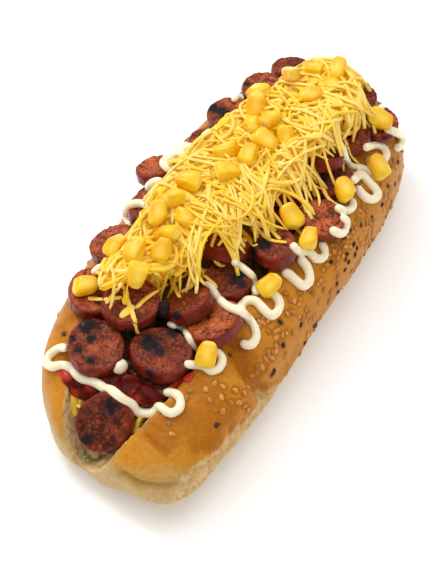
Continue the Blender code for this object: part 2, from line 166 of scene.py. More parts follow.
# How each sausage slice was grilled: how orange its face is, and its char spots (pixel x, y, radius in mm).
SLICE_LOOKS = {
    "01": (0.08, ((112, 406, 2.6), (111, 412, 1.8), (86, 439, 2.0), (133, 437, 0.8))),
    "02": (0.50, ((88, 325, 3.4), (92, 339, 1.9), (78, 350, 1.8), (90, 361, 1.8), (72, 338, 1.5))),
    "03": (0.40, ((153, 346, 4.0), (149, 342, 3.0), (172, 331, 2.6), (149, 374, 2.2), (160, 350, 2.4))),
    "04": (0.95, ((209, 318, 0.8), (226, 330, 0.8))),
    "05": (0.42, ((238, 277, 3.4), (242, 284, 2.2))),
    "06": (0.40, ()),
    "07": (1.00, ((345, 212, 1.0),)),
    "08": (0.15, ()),
    "09": (0.40, ((352, 136, 1.6),)),
    "10": (0.80, ((360, 140, 1.6), (384, 138, 1.2))),
    "11": (0.95, ((104, 300, 2.0), (108, 304, 1.4))),
    "12": (0.35, ()),
    "13": (0.75, ((92, 236, 1.2),)),
    "14": (0.55, ()),
    "15": (0.60, ()),
    "16": (0.70, ((247, 84, 1.6),)),
    "17": (0.50, ()),
    "18": (0.50, ((101, 312, 2.2), (128, 331, 1.8), (106, 325, 1.5))),
    "19": (0.35, ((198, 286, 2.0), (176, 314, 2.4), (164, 318, 2.0))),
    "20": (0.30, ((236, 256, 1.2),)),
    "21": (0.40, ((261, 245, 3.6), (268, 247, 2.4), (254, 250, 2.0))),
    "22": (0.30, ()),
    "23": (0.25, ()),
    "24": (0.50, ()),
    "25": (0.80, ((139, 186, 1.0),)),
    "26": (0.65, ((212, 108, 2.4), (219, 111, 2.8), (227, 114, 2.8), (234, 119, 2.2))),
    "27": (0.30, ((298, 66, 2.0),)),
}

# Dark strips between the slices, in the sausage's finish: pixels, half width in mm and how near black. The
# darkest, near black, is painted shade in a gap between the slices.
DARK_GAP_STRIPS = (
    (((172, 175), (171, 181), (170, 188)), 1.5, 0.4),
    (((134, 217), (136, 224), (135, 231)), 1.1, 0.4),
    (((160, 299), (160, 307), (158, 316)), 2.5, 0.95),
)

# Two more corn kernels: pixel of the middle, width, length and thickness in mm, and turns in degrees.
LOOSE_KERNELS = (
    ((339, 81), (8.2, 9.4, 6.2), (20, 15, 70)),
    ((329, 89), (8.4, 9.2, 6.0), (-15, 10, -40)),
)

# Mayonnaise lines, squeezed in zigzags: pixels and the line's half thickness in mm.
MAYONNAISE_LINES = (
    (((68, 347), (59, 350), (51, 357), (49, 364), (55, 368), (64, 367), (73, 371), (82, 378), (96, 382),
      (107, 389), (118, 398), (129, 405), (140, 412), (151, 412), (157, 405), (160, 407), (167, 413),
      (173, 414), (180, 407), (179, 398), (173, 393), (167, 392), (164, 397)), 2.1),
    (((114, 374), (119, 370), (124, 365)), 3.5),
    (((184, 362), (193, 366), (203, 367), (211, 372), (219, 369), (222, 360), (217, 353), (209, 353)), 2.0),
    (((169, 322), (177, 326), (184, 330), (191, 338), (196, 348), (202, 354)), 1.5),
    (((206, 284), (212, 290), (219, 297), (226, 306), (236, 311), (246, 318), (253, 327), (255, 338),
      (250, 346), (241, 343)), 2.0),
    (((238, 313), (240, 307), (246, 302), (255, 303), (262, 310), (270, 317), (277, 311), (278, 302),
      (272, 295), (264, 291)), 2.1),
    (((231, 260), (238, 265), (246, 272), (252, 279), (254, 288), (257, 296)), 1.7),
    (((280, 272), (287, 275), (295, 282), (302, 287), (308, 281), (307, 271), (301, 262), (296, 259)), 2.2),
    (((291, 245), (297, 252), (308, 253), (315, 260), (323, 257), (323, 249), (318, 242)), 2.0),
    (((329, 229), (337, 233), (343, 230), (345, 223), (341, 217)), 2.0),
    (((335, 206), (341, 211), (348, 211), (352, 205), (349, 199)), 2.0),
    (((352, 183), (359, 175), (367, 183), (376, 194), (371, 200), (363, 198), (354, 187)), 2.1),
    (((366, 158), (371, 167), (374, 178), (379, 173), (374, 163)), 1.8),
    (((362, 148), (371, 146), (381, 148), (385, 155), (382, 162)), 1.9),
    (((383, 128), (389, 131), (399, 136), (399, 146), (393, 149)), 1.9),
    (((376, 114), (384, 106), (393, 107), (401, 112), (399, 125)), 1.9),
    (((326, 135), (335, 138), (342, 147), (345, 158), (351, 167), (362, 168), (372, 175)), 1.4),
    (((359, 86), (361, 100), (365, 112), (373, 117)), 1.2),
    (((176, 173), (168, 170), (164, 165), (170, 160), (180, 159), (187, 162)), 2.1),
    (((165, 193), (155, 192), (150, 186), (156, 180), (164, 182)), 2.2),
    (((136, 228), (128, 221), (125, 213), (133, 205), (145, 206), (152, 212)), 1.9),
    (((192, 156), (182, 155), (178, 150), (185, 147), (195, 149)), 2.0),
    (((203, 139), (208, 134), (214, 131)), 1.7),
    (((232, 103), (238, 99), (245, 97)), 1.8),
    (((90, 275), (100, 269), (111, 266), (118, 262)), 1.8),
)

# Ketchup lies in the hollow behind the front slice and in smears on the bread: pixel x, y, radius in mm.
KETCHUP_SPOTS = (
    (64, 372, 2.6), (69, 378, 3.4), (74, 384, 4.0), (80, 389, 4.4), (87, 393, 4.4), (93, 394, 4.2),
    (98, 392, 4.0), (104, 386, 4.0), (110, 381, 4.6), (117, 378, 5.0), (124, 380, 5.2), (131, 386, 5.4),
    (138, 392, 5.4), (145, 397, 4.8), (151, 400, 3.8), (122, 388, 5.0), (130, 394, 4.4), (112, 389, 4.4),
    (156, 398, 3.0), (172, 388, 2.2), (177, 385, 2.6), (182, 382, 2.8), (187, 379, 2.6), (191, 375, 2.2),
    (60, 370, 2.0), (66, 375, 2.8), (84, 391, 4.2), (101, 389, 4.0), (107, 384, 4.2), (148, 393, 4.2),
    (386, 146, 1.4), (389, 149, 1.5), (352, 240, 1.0),
)

# Spots of a smaller radius than this, in mm, are thin smears.
THIN_KETCHUP = 2.9

# Single shreds that stand out in the photograph: pixels, width in mm, and how pale.
MARKED_SHREDS = (
    (((120, 280), (127, 300), (134, 320), (138, 334)), 2.0, 0.7),
    (((152, 264), (157, 274), (163, 285)), 2.4, 0.5),
    (((166, 268), (172, 282), (180, 298)), 2.0, 0.7),
    (((168, 284), (156, 292), (145, 300), (136, 309)), 2.2, 0.5),
    (((134, 306), (128, 311), (120, 318)), 2.8, 0.6),
    (((119, 250), (116, 262), (107, 275), (99, 284)), 1.5, 0.5),
    (((121, 284), (114, 293), (106, 304)), 1.8, 0.8),
    (((88, 299), (104, 300), (122, 298)), 1.9, 0.7),
    (((194, 244), (189, 262), (174, 276)), 2.0, 0.4),
    (((205, 234), (201, 252), (196, 266), (191, 275)), 1.9, 0.6),
    (((189, 263), (200, 272), (217, 288)), 1.5, 0.8),
    (((184, 270), (193, 278), (192, 287), (181, 293)), 1.4, 0.8),
    (((233, 233), (237, 247), (233, 259)), 1.4, 0.9),
    (((214, 232), (226, 238), (240, 239), (256, 246)), 1.8, 0.5),
    (((206, 216), (226, 222), (242, 232), (255, 246)), 1.9, 0.4),
    (((254, 222), (262, 234), (272, 241), (287, 243)), 1.7, 0.5),
    (((243, 182), (256, 196), (264, 214), (276, 232)), 1.9, 0.4),
    (((261, 215), (268, 227), (280, 240)), 1.7, 0.5),
    (((338, 109), (343, 137), (350, 154), (359, 165)), 1.7, 0.6),
    (((308, 136), (312, 159), (318, 178), (329, 199), (341, 207)), 1.6, 0.6),
    (((302, 183), (288, 186), (275, 197), (270, 206)), 1.7, 0.8),
    (((310, 173), (313, 186), (316, 196)), 1.6, 0.5),
    (((352, 86), (355, 100), (353, 116), (350, 121)), 1.5, 0.5),
    (((343, 84), (344, 104), (343, 120)), 1.5, 0.6),
    (((335, 100), (336, 116), (334, 128)), 1.4, 0.6),
    (((170, 160), (188, 158), (206, 146), (222, 140)), 1.6, 0.6),
    (((152, 205), (154, 196), (156, 190)), 1.8, 0.6),
    (((208, 138), (226, 132), (246, 128)), 1.8, 0.6),
    (((196, 190), (203, 206), (208, 222)), 2.0, 0.3),
    (((198, 188), (220, 185), (246, 192), (262, 212)), 2.2, 0.2),
    (((180, 238), (202, 226), (226, 212), (250, 204)), 1.9, 0.3),
)

# Cheese strips that stand in the open front beside the slice: pixels and width in mm.
FRONT_STRIPS = (
    (((76, 391), (75, 402), (74, 416)), 2.7),
    (((80, 396), (80, 408)), 1.8),
    (((142, 415), (138, 423), (133, 431)), 1.9),
    (((148, 409), (141, 418)), 1.6),
)

# Groups of pale seeds on the right flank: pixel x, y, spread in pixels and number.
SEED_GROUPS = (
    (279, 338, 10, 16), (263, 325, 8, 9), (272, 357, 10, 11), (297, 303, 7, 9), (254, 370, 9, 9),
    (208, 388, 14, 6), (226, 394, 13, 6), (216, 406, 12, 5), (236, 398, 12, 6), (300, 248, 5, 4),
    (186, 396, 10, 5), (170, 428, 14, 5), (312, 290, 11, 12), (330, 262, 12, 16), (345, 240, 12, 18),
    (358, 216, 13, 20), (352, 232, 9, 14), (376, 190, 12, 18), (388, 166, 9, 14), (320, 240, 8, 8),
    (290, 380, 8, 3), (240, 420, 10, 3), (128, 216, 9, 8), (186, 143, 10, 9), (200, 133, 7, 5),
    (66, 334, 4, 2), (48, 405, 8, 2),
)

# Dark seeds: one pixel each.
DARK_SEEDS = (
    (280, 322), (254, 320), (262, 312), (283, 345), (301, 325), (314, 326), (316, 324), (305, 343),
    (272, 375), (274, 372), (217, 425), (331, 262), (346, 259), (347, 254), (345, 270), (337, 284),
    (338, 292), (354, 244), (357, 248), (344, 238), (350, 230), (361, 225), (363, 226), (372, 217),
    (388, 186), (398, 162), (379, 178), (378, 177), (395, 184), (186, 361), (230, 355), (232, 360),
    (284, 380), (64, 334), (355, 255), (349, 262), (382, 205), (401, 150),
)


# ---------------------------------------------------------------- numbers over space


def eased(values, low, high):
    """0 below low, 1 above high, and a smooth step between. low may be the larger one."""
    share = np.clip((values - low) / (high - low), 0, 1)
    return share * share * (3 - 2 * share)


def scattered(cells, seed):
    """A steady random number from 0 to 1 for each whole-numbered cell."""
    mixed = cells[:, 0] * 73856093 ^ cells[:, 1] * 19349663 ^ cells[:, 2] * 83492791 ^ (seed + 1) * 40503
    mixed = (mixed ^ (mixed >> 13)) * 1274126177 & 0x7FFFFFFF
    mixed = (mixed ^ (mixed >> 15)) * 668265263 & 0x7FFFFFFF
    return (mixed >> 7 & 0xFFFF) / 0xFFFF


def lumps(points, size, seed=0):
    """Smooth noise from -1 to 1 with lumps about `size` across."""
    spots = points / size
    base = np.floor(spots).astype(np.int64)
    share = spots - base
    share = share * share * (3 - 2 * share)
    total = np.zeros(len(points))
    for corner in product((0, 1), repeat=3):
        weight = np.prod(np.where(corner, share, 1 - share), axis=1)
        total += weight * scattered(base + corner, seed)
    return 2 * total - 1


def pebbles(points, size, seed=0):
    """Scattered pebbles about `size` apart: the distance to the nearest one, how much further the next
    one is (both in pebble sizes), and the nearest one's own random number."""
    spots = points / size
    base = np.floor(spots).astype(np.int64)
    nearest = np.full(len(points), 9.0)
    second = nearest.copy()
    label = np.zeros(len(points))
    for step in product((-1, 0, 1), repeat=3):
        cells = base + step
        middle = cells + np.stack([scattered(cells, seed + axis) for axis in range(3)], axis=1)
        away = np.linalg.norm(spots - middle, axis=1)
        closer = away < nearest
        second = np.where(closer, nearest, np.minimum(second, away))
        nearest = np.where(closer, away, nearest)
        label = np.where(closer, scattered(cells, seed + 7), label)
    return nearest, second - nearest, label


def distance_to_line(points, line):
    """Each point's distance to a line of 3-D points."""
    best = np.full(len(points), np.inf)
    for start, end in zip(line, line[1:]):
        along = end - start
        share = np.clip((points - start) @ along / max(along @ along, 1e-12), 0, 1)
        best = np.minimum(best, np.linalg.norm(points - start - share[:, None] * along, axis=1))
    return best


def curve_through(knots, spacing):
    """Points about `spacing` apart on a smooth curve through the knots."""
    knots = np.asarray(knots, float)
    padded = np.vstack([2 * knots[0] - knots[1], knots, 2 * knots[-1] - knots[-2]])
    points = []
    for before, start, end, after in zip(padded, padded[1:], padded[2:], padded[3:]):
        count = max(int(np.linalg.norm(end - start) / spacing), 1)
        for t in np.arange(count) / count:
            points.append(0.5 * (2 * start + (end - before) * t
                                 + (2 * before - 5 * start + 4 * end - after) * t * t
                                 + (3 * start - before - 3 * end + after) * t ** 3))
    points.append(knots[-1])
    return np.array(points)


def evened(line, rounds):
    """A line of points with its bends rounded off. Its ends stay."""
    line = line.copy()
    for _ in range(rounds):
        line[1:-1] = 0.25 * line[:-2] + 0.5 * line[1:-1] + 0.25 * line[2:]
    return line


def main_axes(points):
    """The middle of a cloud of points, and its axes from the longest to the shortest."""
    middle = (points.min(axis=0) + points.max(axis=0)) / 2
    spread = np.cov((points - points.mean(axis=0)).T)
    _, vectors = np.linalg.eigh(spread)
    axes = vectors.T[::-1]
    for axis in (0, 1, 2):
        reach = (points - middle) @ axes[axis]
        middle = middle + axes[axis] * (reach.min() + reach.max()) / 2
    return middle, axes


# ---------------------------------------------------------------- meshes


def mesh_arrays(obj):
    """A mesh object's points and triangles, as arrays."""
    mesh = obj.data
    mesh.calc_loop_triangles()
    points = np.empty(len(mesh.vertices) * 3, np.float32)
    mesh.vertices.foreach_get("co", points)
    triangles = np.empty(len(mesh.loop_triangles) * 3, np.int32)
    mesh.loop_triangles.foreach_get("vertices", triangles)
    return points.reshape(-1, 3).astype(float), triangles.reshape(-1, 3)


def surface_of(names):
    """A tree of the named objects' faces, for rays."""
    points = []
    triangles = []
    start = 0
    for name in names:
        own_points, own_triangles = mesh_arrays(bpy.data.objects[name])
        points.extend(own_points.tolist())
        triangles.extend((own_triangles + start).tolist())
        start += len(own_points)
    return BVHTree.FromPolygons(points, triangles)


def cast(tree, pixel):
    """Where the ray through a pixel meets the tree, and the normal there, or None."""
    place, normal, _, _ = tree.ray_cast(VIEW.eye, VIEW.ray(pixel))
    if place is None:
        return None
    return np.array(place), np.array(normal)


def cast_line(tree, pixels, what):
    """The places where a smooth line of pixels meets the tree. Pixels that miss it are left out."""
    found = [cast(tree, pixel) for pixel in curve_through(pixels, 1.2)]
    found = [hit for hit in found if hit]
    if len(found) < 2:
        raise RuntimeError(f"{what} at pixel {pixels[0]} misses the food")
    return np.array([hit[0] for hit in found]), np.array([hit[1] for hit in found])


def remeshed(name, points, faces, voxel):
    """One closed skin of small even faces round the given bodies, which may overlap."""
    rough = bpy.data.objects.new(name, bpy.data.meshes.new(name + "_rough"))
    rough.data.from_pydata(np.asarray(points).tolist(), [], [list(face) for face in faces])
    bpy.context.scene.collection.objects.link(rough)
    skin = rough.modifiers.new("Skin", "REMESH")
    skin.mode = "VOXEL"
    skin.voxel_size = voxel
    graph = bpy.context.evaluated_depsgraph_get()
    mesh = bpy.data.meshes.new_from_object(rough.evaluated_get(graph))
    rough_mesh = rough.data
    bpy.data.objects.remove(rough)
    bpy.data.meshes.remove(rough_mesh)
    if not mesh.polygons:
        raise RuntimeError(f"{name} came out empty")
    mesh.name = name
    return mesh


def face_facts(points, triangles):
    """Each triangle's outward normal, twice its area, and its middle."""
    corners = points[triangles]
    normals = np.cross(corners[:, 1] - corners[:, 0], corners[:, 2] - corners[:, 0])
    areas = np.linalg.norm(normals, axis=1)
    return normals / np.maximum(areas, 1e-12)[:, None], areas, corners.mean(axis=1)


def store_mask(mesh, name, values):
    """Stores a value from 0 to 1 for each point, which the material reads by its name."""
    attribute = mesh.attributes.new(name, "FLOAT", "POINT")
    attribute.data.foreach_set("value", np.clip(values, 0, 1).astype(np.float32))


class Skin:
    """A fine mesh that is being modelled: its points, and the masks that its material reads."""

    def __init__(self, mesh):
        self.mesh = mesh
        points = np.empty(len(mesh.vertices) * 3, np.float32)
        mesh.vertices.foreach_get("co", points)
        self.points = points.reshape(-1, 3).astype(float)
        edges = np.empty(len(mesh.edges) * 2, np.int32)
        mesh.edges.foreach_get("vertices", edges)
        self.first, self.second = edges.reshape(-1, 2).T
        self.valence = np.maximum(np.bincount(edges, minlength=len(self.points)), 1)

    def spread(self, values, rounds, share=0.5):
        """Evens out a value by averaging each point with its neighbours."""
        count = len(self.points)
        for _ in range(rounds):
            total = np.bincount(self.first, weights=values[self.second], minlength=count)
            total += np.bincount(self.second, weights=values[self.first], minlength=count)
            values = values * (1 - share) + total / self.valence * share
        return values

    def relax(self, rounds):
        """Rounds off facets and sharp edges."""
        for axis in range(3):
            self.points[:, axis] = self.spread(self.points[:, axis], rounds)

    def normals(self):
        """The outward normals of the points as they are now."""
        self.mesh.vertices.foreach_set("co", self.points.astype(np.float32).ravel())
        self.mesh.update()
        normals = np.empty(len(self.points) * 3, np.float32)
        self.mesh.vertex_normals.foreach_get("vector", normals)
        return normals.reshape(-1, 3).astype(float)

    def push(self, heights):
        """Moves each point out along its normal."""
        self.points += self.normals() * heights[:, None]

    def mask(self, name, values):
        store_mask(self.mesh, name, values)

    def finished(self):
        """Writes the points to the mesh and returns it."""
        self.normals()
        return self.mesh


def add_piece(name, mesh, material, stands_for=()):
    """Makes a mesh a smooth-shaded piece of the roll, in place of the nodes that it stands for."""
    mesh.materials.clear()
    mesh.materials.append(material)
    mesh.shade_smooth()
    piece = bpy.data.objects.new(name, mesh)
    bpy.context.scene.collection.objects.link(piece)
    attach(piece, BODY)
    if stands_for:
        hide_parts(*stands_for)
    return piece


class Parts:
    """Several closed bodies that are gathered into one mesh, with a value for each point."""

    def __init__(self):
        self.points = []
        self.faces = []
        self.values = []
        self.count = 0

    def add(self, points, faces, value=0.0):
        self.points.append(points)
        self.faces.extend([[corner + self.count for corner in face] for face in faces])
        self.values.append(np.broadcast_to(np.asarray(value, float), len(points)))
        self.count += len(points)

    def mesh(self, name, mask):
        mesh = bpy.data.meshes.new(name)
        mesh.from_pydata(np.vstack(self.points).tolist(), [], self.faces)
        store_mask(mesh, mask, np.concatenate(self.values))
        return mesh


def tube_faces(rings, sides):
    """The faces of a tube of rings, closed at both ends."""
    faces = []
    for ring in range(rings - 1):
        for side in range(sides):
            following = (side + 1) % sides
            low, high = ring * sides, (ring + 1) * sides
            faces.append((low + side, low + following, high + following, high + side))
    faces.append(tuple(reversed(range(sides))))
    faces.append(tuple(range((rings - 1) * sides, rings * sides)))
    return faces


def swept(path, section, ups):
    """Sweeps a section (one array of points across and up for each place) along a path."""
    ahead = np.gradient(path, axis=0)
    ahead /= np.maximum(np.linalg.norm(ahead, axis=1, keepdims=True), 1e-9)
    across = np.cross(ahead, ups)
    across /= np.maximum(np.linalg.norm(across, axis=1, keepdims=True), 1e-9)
    up = np.cross(across, ahead)
    points = path[:, None] + section[..., :1] * across[:, None] + section[..., 1:] * up[:, None]
    return points.reshape(-1, 3)


def rounded_tube(path, radius, ups, sides=10):
    """A round tube along a path with a dome at each end, as points and faces."""
    steps = np.linalg.norm(np.diff(path, axis=0), axis=1)
    along = np.concatenate([[0], np.cumsum(steps)])
    from_end = np.minimum(along, along[-1] - along)
    dome = np.sqrt(np.clip(1 - (1 - np.clip(from_end / radius, 0.02, 1)) ** 2, 0, 1))
    turn = np.arange(sides) / sides * math.tau
    circle = np.stack([np.cos(turn), np.sin(turn)], axis=1)
    section = (radius * dome)[:, None, None] * circle
    return swept(path, section, ups), tube_faces(len(path), sides)


def blob(middle, normal, radius, height, rings=7, sides=12):
    """A flattened ball that lies on a surface, as points and faces."""
    turn_to = Vector(normal).to_track_quat("Z", "Y").to_matrix()
    latitudes = np.linspace(0.02, 0.98, rings) * math.pi
    turn = np.arange(sides) / sides * math.tau
    points = [(radius * math.sin(a) * math.cos(b), radius * math.sin(a) * math.sin(b), -height * math.cos(a))
              for a in latitudes for b in turn]
    return np.array(points) @ np.array(turn_to).T + middle, tube_faces(rings, sides)


# ---------------------------------------------------------------- shaders


def add_node(tree, kind, inputs=None, **settings):
    """Adds a shader node. Each input is a value, or another node's output that is linked to it."""
    node = tree.nodes.new("ShaderNode" + kind)
    for name, value in settings.items():
        setattr(node, name, value)
    for name, value in (inputs or {}).items():
        if isinstance(value, bpy.types.NodeSocket):
            tree.links.new(value, node.inputs[name])
        else:
            node.inputs[name].default_value = value
    return node


def opaque(colour):
    """A colour with its alpha. An output of colour stays as it is."""
    if isinstance(colour, bpy.types.NodeSocket):
        return colour
    return (*tuple(colour)[:3], 1.0)


def tinted(colour, shade):
    """A colour times a number, or times another colour."""
    return tuple(np.multiply(tuple(colour), shade))


# The Mix node has sockets for numbers, vectors and colours. These are the ones for colours.
MIX_FACTOR, MIX_FIRST, MIX_SECOND, MIX_COLOUR = 0, 6, 7, 2


def mixed(tree, factor, first, second, blend="MIX"):
    """Mixes two colours."""
    inputs = {MIX_FACTOR: factor, MIX_FIRST: opaque(first), MIX_SECOND: opaque(second)}
    return add_node(tree, "Mix", inputs, data_type="RGBA", blend_type=blend).outputs[MIX_COLOUR]


def calculated(tree, operation, *values, clamp=False):
    """One step of arithmetic on values or outputs."""
    node = add_node(tree, "Math", dict(enumerate(values)), operation=operation, use_clamp=clamp)
    return node.outputs[0]


def ranged(tree, value, low, high, to_low=0.0, to_high=1.0):
    """Maps a value's range onto another, smoothly, and holds it there."""
    inputs = {"Value": value, "From Min": low, "From Max": high, "To Min": to_low, "To Max": to_high}
    return add_node(tree, "MapRange", inputs, interpolation_type="SMOOTHSTEP").outputs[0]


def read_mask(tree, name):
    """The mask of that name, as stored on the mesh."""
    return add_node(tree, "Attribute", attribute_name=name).outputs["Fac"]


def shader_group(name, inputs, outputs):
    """Starts a node group with the given sockets, as (name, kind, default)."""
    tree = bpy.data.node_groups.new(name, "ShaderNodeTree")
    for label, kind, value in inputs:
        socket = tree.interface.new_socket(label, in_out="INPUT", socket_type="NodeSocket" + kind)
        if value is not None:
            socket.default_value = value
    for label, kind in outputs:
        tree.interface.new_socket(label, in_out="OUTPUT", socket_type="NodeSocket" + kind)
    return tree, tree.nodes.new("NodeGroupInput").outputs, tree.nodes.new("NodeGroupOutput").inputs


def mottle_group():
    """Uneven patches between two colours, as in crust, meat, corn and sauces."""
    if "Mottle" in bpy.data.node_groups:
        return bpy.data.node_groups["Mottle"]
    tree, given, made = shader_group(
        "Mottle",
        (("Vector", "Vector", None), ("Size", "Float", 0.003), ("First", "Color", (1, 1, 1, 1)),
         ("Second", "Color", (0, 0, 0, 1)), ("Edge", "Float", 0.2), ("Level", "Float", 0.5)),
        (("Color", "Color"), ("Mask", "Float")),
    )
    scale = calculated(tree, "DIVIDE", 1.0, given["Size"])
    noise = add_node(tree, "TexNoise", {"Vector": given["Vector"], "Scale": scale, "Detail": 5.0,
                                        "Roughness": 0.6})
    low = calculated(tree, "SUBTRACT", given["Level"], given["Edge"])
    high = calculated(tree, "ADD", given["Level"], given["Edge"])
    mask = ranged(tree, noise.outputs[0], low, high)
    tree.links.new(mixed(tree, mask, given["First"], given["Second"]), made["Color"])
    tree.links.new(mask, made["Mask"])
    return tree


def grain_group():
    """Fine relief of two sizes, for the height of a bump."""
    if "Grain" in bpy.data.node_groups:
        return bpy.data.node_groups["Grain"]
    tree, given, made = shader_group(
        "Grain",
        (("Vector", "Vector", None), ("Coarse", "Float", 0.002), ("Fine", "Float", 0.0005),
         ("Balance", "Float", 0.5)),
        (("Height", "Float"),),
    )
    heights = []
    for size in ("Coarse", "Fine"):
        scale = calculated(tree, "DIVIDE", 1.0, given[size])
        heights.append(add_node(tree, "TexNoise", {"Vector": given["Vector"], "Scale": scale,
                                                   "Detail": 3.0}).outputs[0])
    fine = calculated(tree, "MULTIPLY", heights[1], given["Balance"])
    rest = calculated(tree, "SUBTRACT", 1.0, given["Balance"])
    coarse = calculated(tree, "MULTIPLY", heights[0], rest)
    tree.links.new(calculated(tree, "ADD", coarse, fine), made["Height"])
    return tree


class Finish:
    """A material that is being wired: its shader, and the coordinates that its patterns follow. The
    shader's settings are named like its sockets, with a line for each space."""

    def __init__(self, name, **shader):
        self.material = bpy.data.materials.new(name)
        self.material.use_nodes = True
        self.tree = self.material.node_tree
        self.shader = self.tree.nodes["Principled BSDF"]
        self.place = add_node(self.tree, "TexCoord").outputs["Object"]
        for socket, value in shader.items():
            self.shader.inputs[socket.replace("_", " ")].default_value = value

    def mottle(self, first, second, size, edge=0.12, level=0.5):
        """Patches between two colours, or outputs of colour."""
        inputs = {"Vector": self.place, "Size": size, "First": opaque(first), "Second": opaque(second),
                  "Edge": edge, "Level": level}
        return add_node(self.tree, "Group", inputs, node_tree=mottle_group()).outputs

    def bump(self, coarse, fine, balance, depth, strength=1.0):
        """Fine relief under the light, `depth` metres high."""
        inputs = {"Vector": self.place, "Coarse": coarse, "Fine": fine, "Balance": balance}
        grain = add_node(self.tree, "Group", inputs, node_tree=grain_group())
        inputs = {"Height": grain.outputs["Height"], "Distance": depth, "Strength": strength}
        self.feed("Normal", add_node(self.tree, "Bump", inputs).outputs["Normal"])

    def feed(self, socket, output):
        """Links an output to one of the shader's sockets."""
        self.tree.links.new(output, self.shader.inputs[socket])


# ---------------------------------------------------------------- settings


def length_property(name, description, default):
    """A size that a user may change."""
    return FloatProperty(name=name, description=description, default=default, min=0.0, precision=5,
                         unit="LENGTH")


def colour_property(name, description, default):
    """A colour that a user may change."""
    return FloatVectorProperty(name=name, description=description, default=default, size=3, min=0.0,
                               max=1.0, subtype="COLOR")


class BreadSettings(bpy.types.PropertyGroup):
    """The split roll."""

    skin: length_property("Skin", "Size of the crust's faces", 1.0 * MM)
    unevenness: length_property("Unevenness", "How far the crust swells and sinks", 0.7 * MM)
    pore: length_property("Pore", "Size of the crumb's pores", 2.3 * MM)
    corner: length_property("Corner", "How far the foot stands out at the front right corner", 4.5 * MM)
    lean: length_property("Lean", "How far the front left lobe leans in over the cut", 3.4 * MM)
    foot: colour_property("Foot", "Colour of the pale lower crust", (0.60, 0.42, 0.20))
    light: colour_property("Light crust", "Colour of the lightly baked crust", (0.54, 0.318, 0.080))
    gold: colour_property("Golden crust", "Colour of the golden crust", (0.60, 0.245, 0.017))
    brown: colour_property("Brown crust", "Colour of the crust where it is darkest", (0.43, 0.140, 0.004))
    crumb: colour_property("Crumb", "Colour of the crumb", (0.95, 0.74, 0.40))


class SausageSettings(bpy.types.PropertyGroup):
    """The grilled slices."""

    skin: length_property("Skin", "Size of the slices' faces", 0.5 * MM)
    grain: length_property("Grain", "Size of the chopped meat's pieces", 1.9 * MM)
    relief: length_property("Relief", "Depth between the pieces of meat", 0.45 * MM)
    dark: colour_property("Dark meat", "Colour of the dark meat", (0.055, 0.008, 0.003))
    red: colour_property("Red meat", "Colour of the browned red meat", (0.27, 0.042, 0.012))
    orange: colour_property("Orange meat", "Colour of the lightly grilled meat", (0.58, 0.125, 0.032))
    fat: colour_property("Fat", "Colour of the flecks of fat", (0.68, 0.27, 0.11))
    casing: colour_property("Casing", "Colour of the casing", (0.125, 0.011, 0.005))
    char: colour_property("Char", "Colour of the burnt spots", (0.013, 0.011, 0.015))


class CornSettings(bpy.types.PropertyGroup):
    """The corn kernels."""

    rows: IntProperty(name="Rows", description="Rows of faces on a kernel", default=26, min=8, max=60)
    plump: FloatProperty(name="Plumpness", description="Size of a kernel beside its solid", default=1.08)
    crown: colour_property("Crown", "Colour of the crown", (0.90, 0.57, 0.010))
    # The sides' deeper orange is partly the kernel's own colour, partly painted shade.
    side: colour_property("Side", "Colour of the sides", (0.84, 0.42, 0.001))
    germ: colour_property("Germ", "Colour of the pale patch", (0.94, 0.72, 0.14))
    tip: colour_property("Tip", "Colour of the cut tip", (0.86, 0.58, 0.08))
    # Painted glow: the kernels give off this light themselves, as if it came through them.
    glow: colour_property("Glow", "Golden light that comes through a kernel", (0.90, 0.42, 0.0))


class CheeseSettings(bpy.types.PropertyGroup):
    """The grated cheese."""

    flank: IntProperty(name="Flank shreds", description="Shreds down the heap's sides", default=430, min=0)
    left_flank: IntProperty(name="Left flank shreds", description="More shreds down the steeper side",
                            default=110, min=0)
    fill: IntProperty(name="Heap shreds", description="Shreds laid in the heap", default=470, min=0)
    edge: IntProperty(name="Edge shreds", description="Shreds that hang over the edge", default=190, min=0)
    width: length_property("Width", "Width of a shred", 1.55 * MM)
    thickness: length_property("Thickness", "Thickness of a shred", 0.75 * MM)
    depth: length_property("Depth", "Depth of loose shreds over the core", 2.3 * MM)
    yellow: colour_property("Yellow", "Colour of the shreds", (0.90, 0.61, 0.045))
    pale: colour_property("Pale", "Colour of the pale shreds and tips", (0.91, 0.71, 0.23))
    # Painted shade: the core deep in the heap gets a deeper orange, for the warm shade between the shreds.
    deep: colour_property("Deep", "Colour deep in the heap", (0.92, 0.50, 0.015))
    # Painted glow: the shreds give off this light themselves, as if it came through them.
    glow: colour_property("Glow", "Golden light that comes through the shreds", (1.0, 0.58, 0.01))


class SauceSettings(bpy.types.PropertyGroup):
    """Mayonnaise, ketchup and the relish under the sausage."""

    skin: length_property("Skin", "Size of the sauces' faces", 0.55 * MM)
    squeeze: FloatProperty(name="Squeeze", description="Thickness of the mayonnaise lines", default=0.92)
    mayonnaise: colour_property("Mayonnaise", "Colour of the mayonnaise", (0.95, 0.85, 0.63))
    ketchup: colour_property("Ketchup", "Colour of the ketchup", (0.13, 0.005, 0.002))
    smear: colour_property("Smear", "Colour of the ketchup where it lies thin", (0.48, 0.035, 0.012))
    green: colour_property("Green relish", "Colour of the green bits", (0.42, 0.33, 0.10))
    onion: colour_property("Pale relish", "Colour of the pale bits", (0.55, 0.40, 0.16))
    juice: colour_property("Juice", "Colour of the juice between the bits", (0.06, 0.012, 0.005))


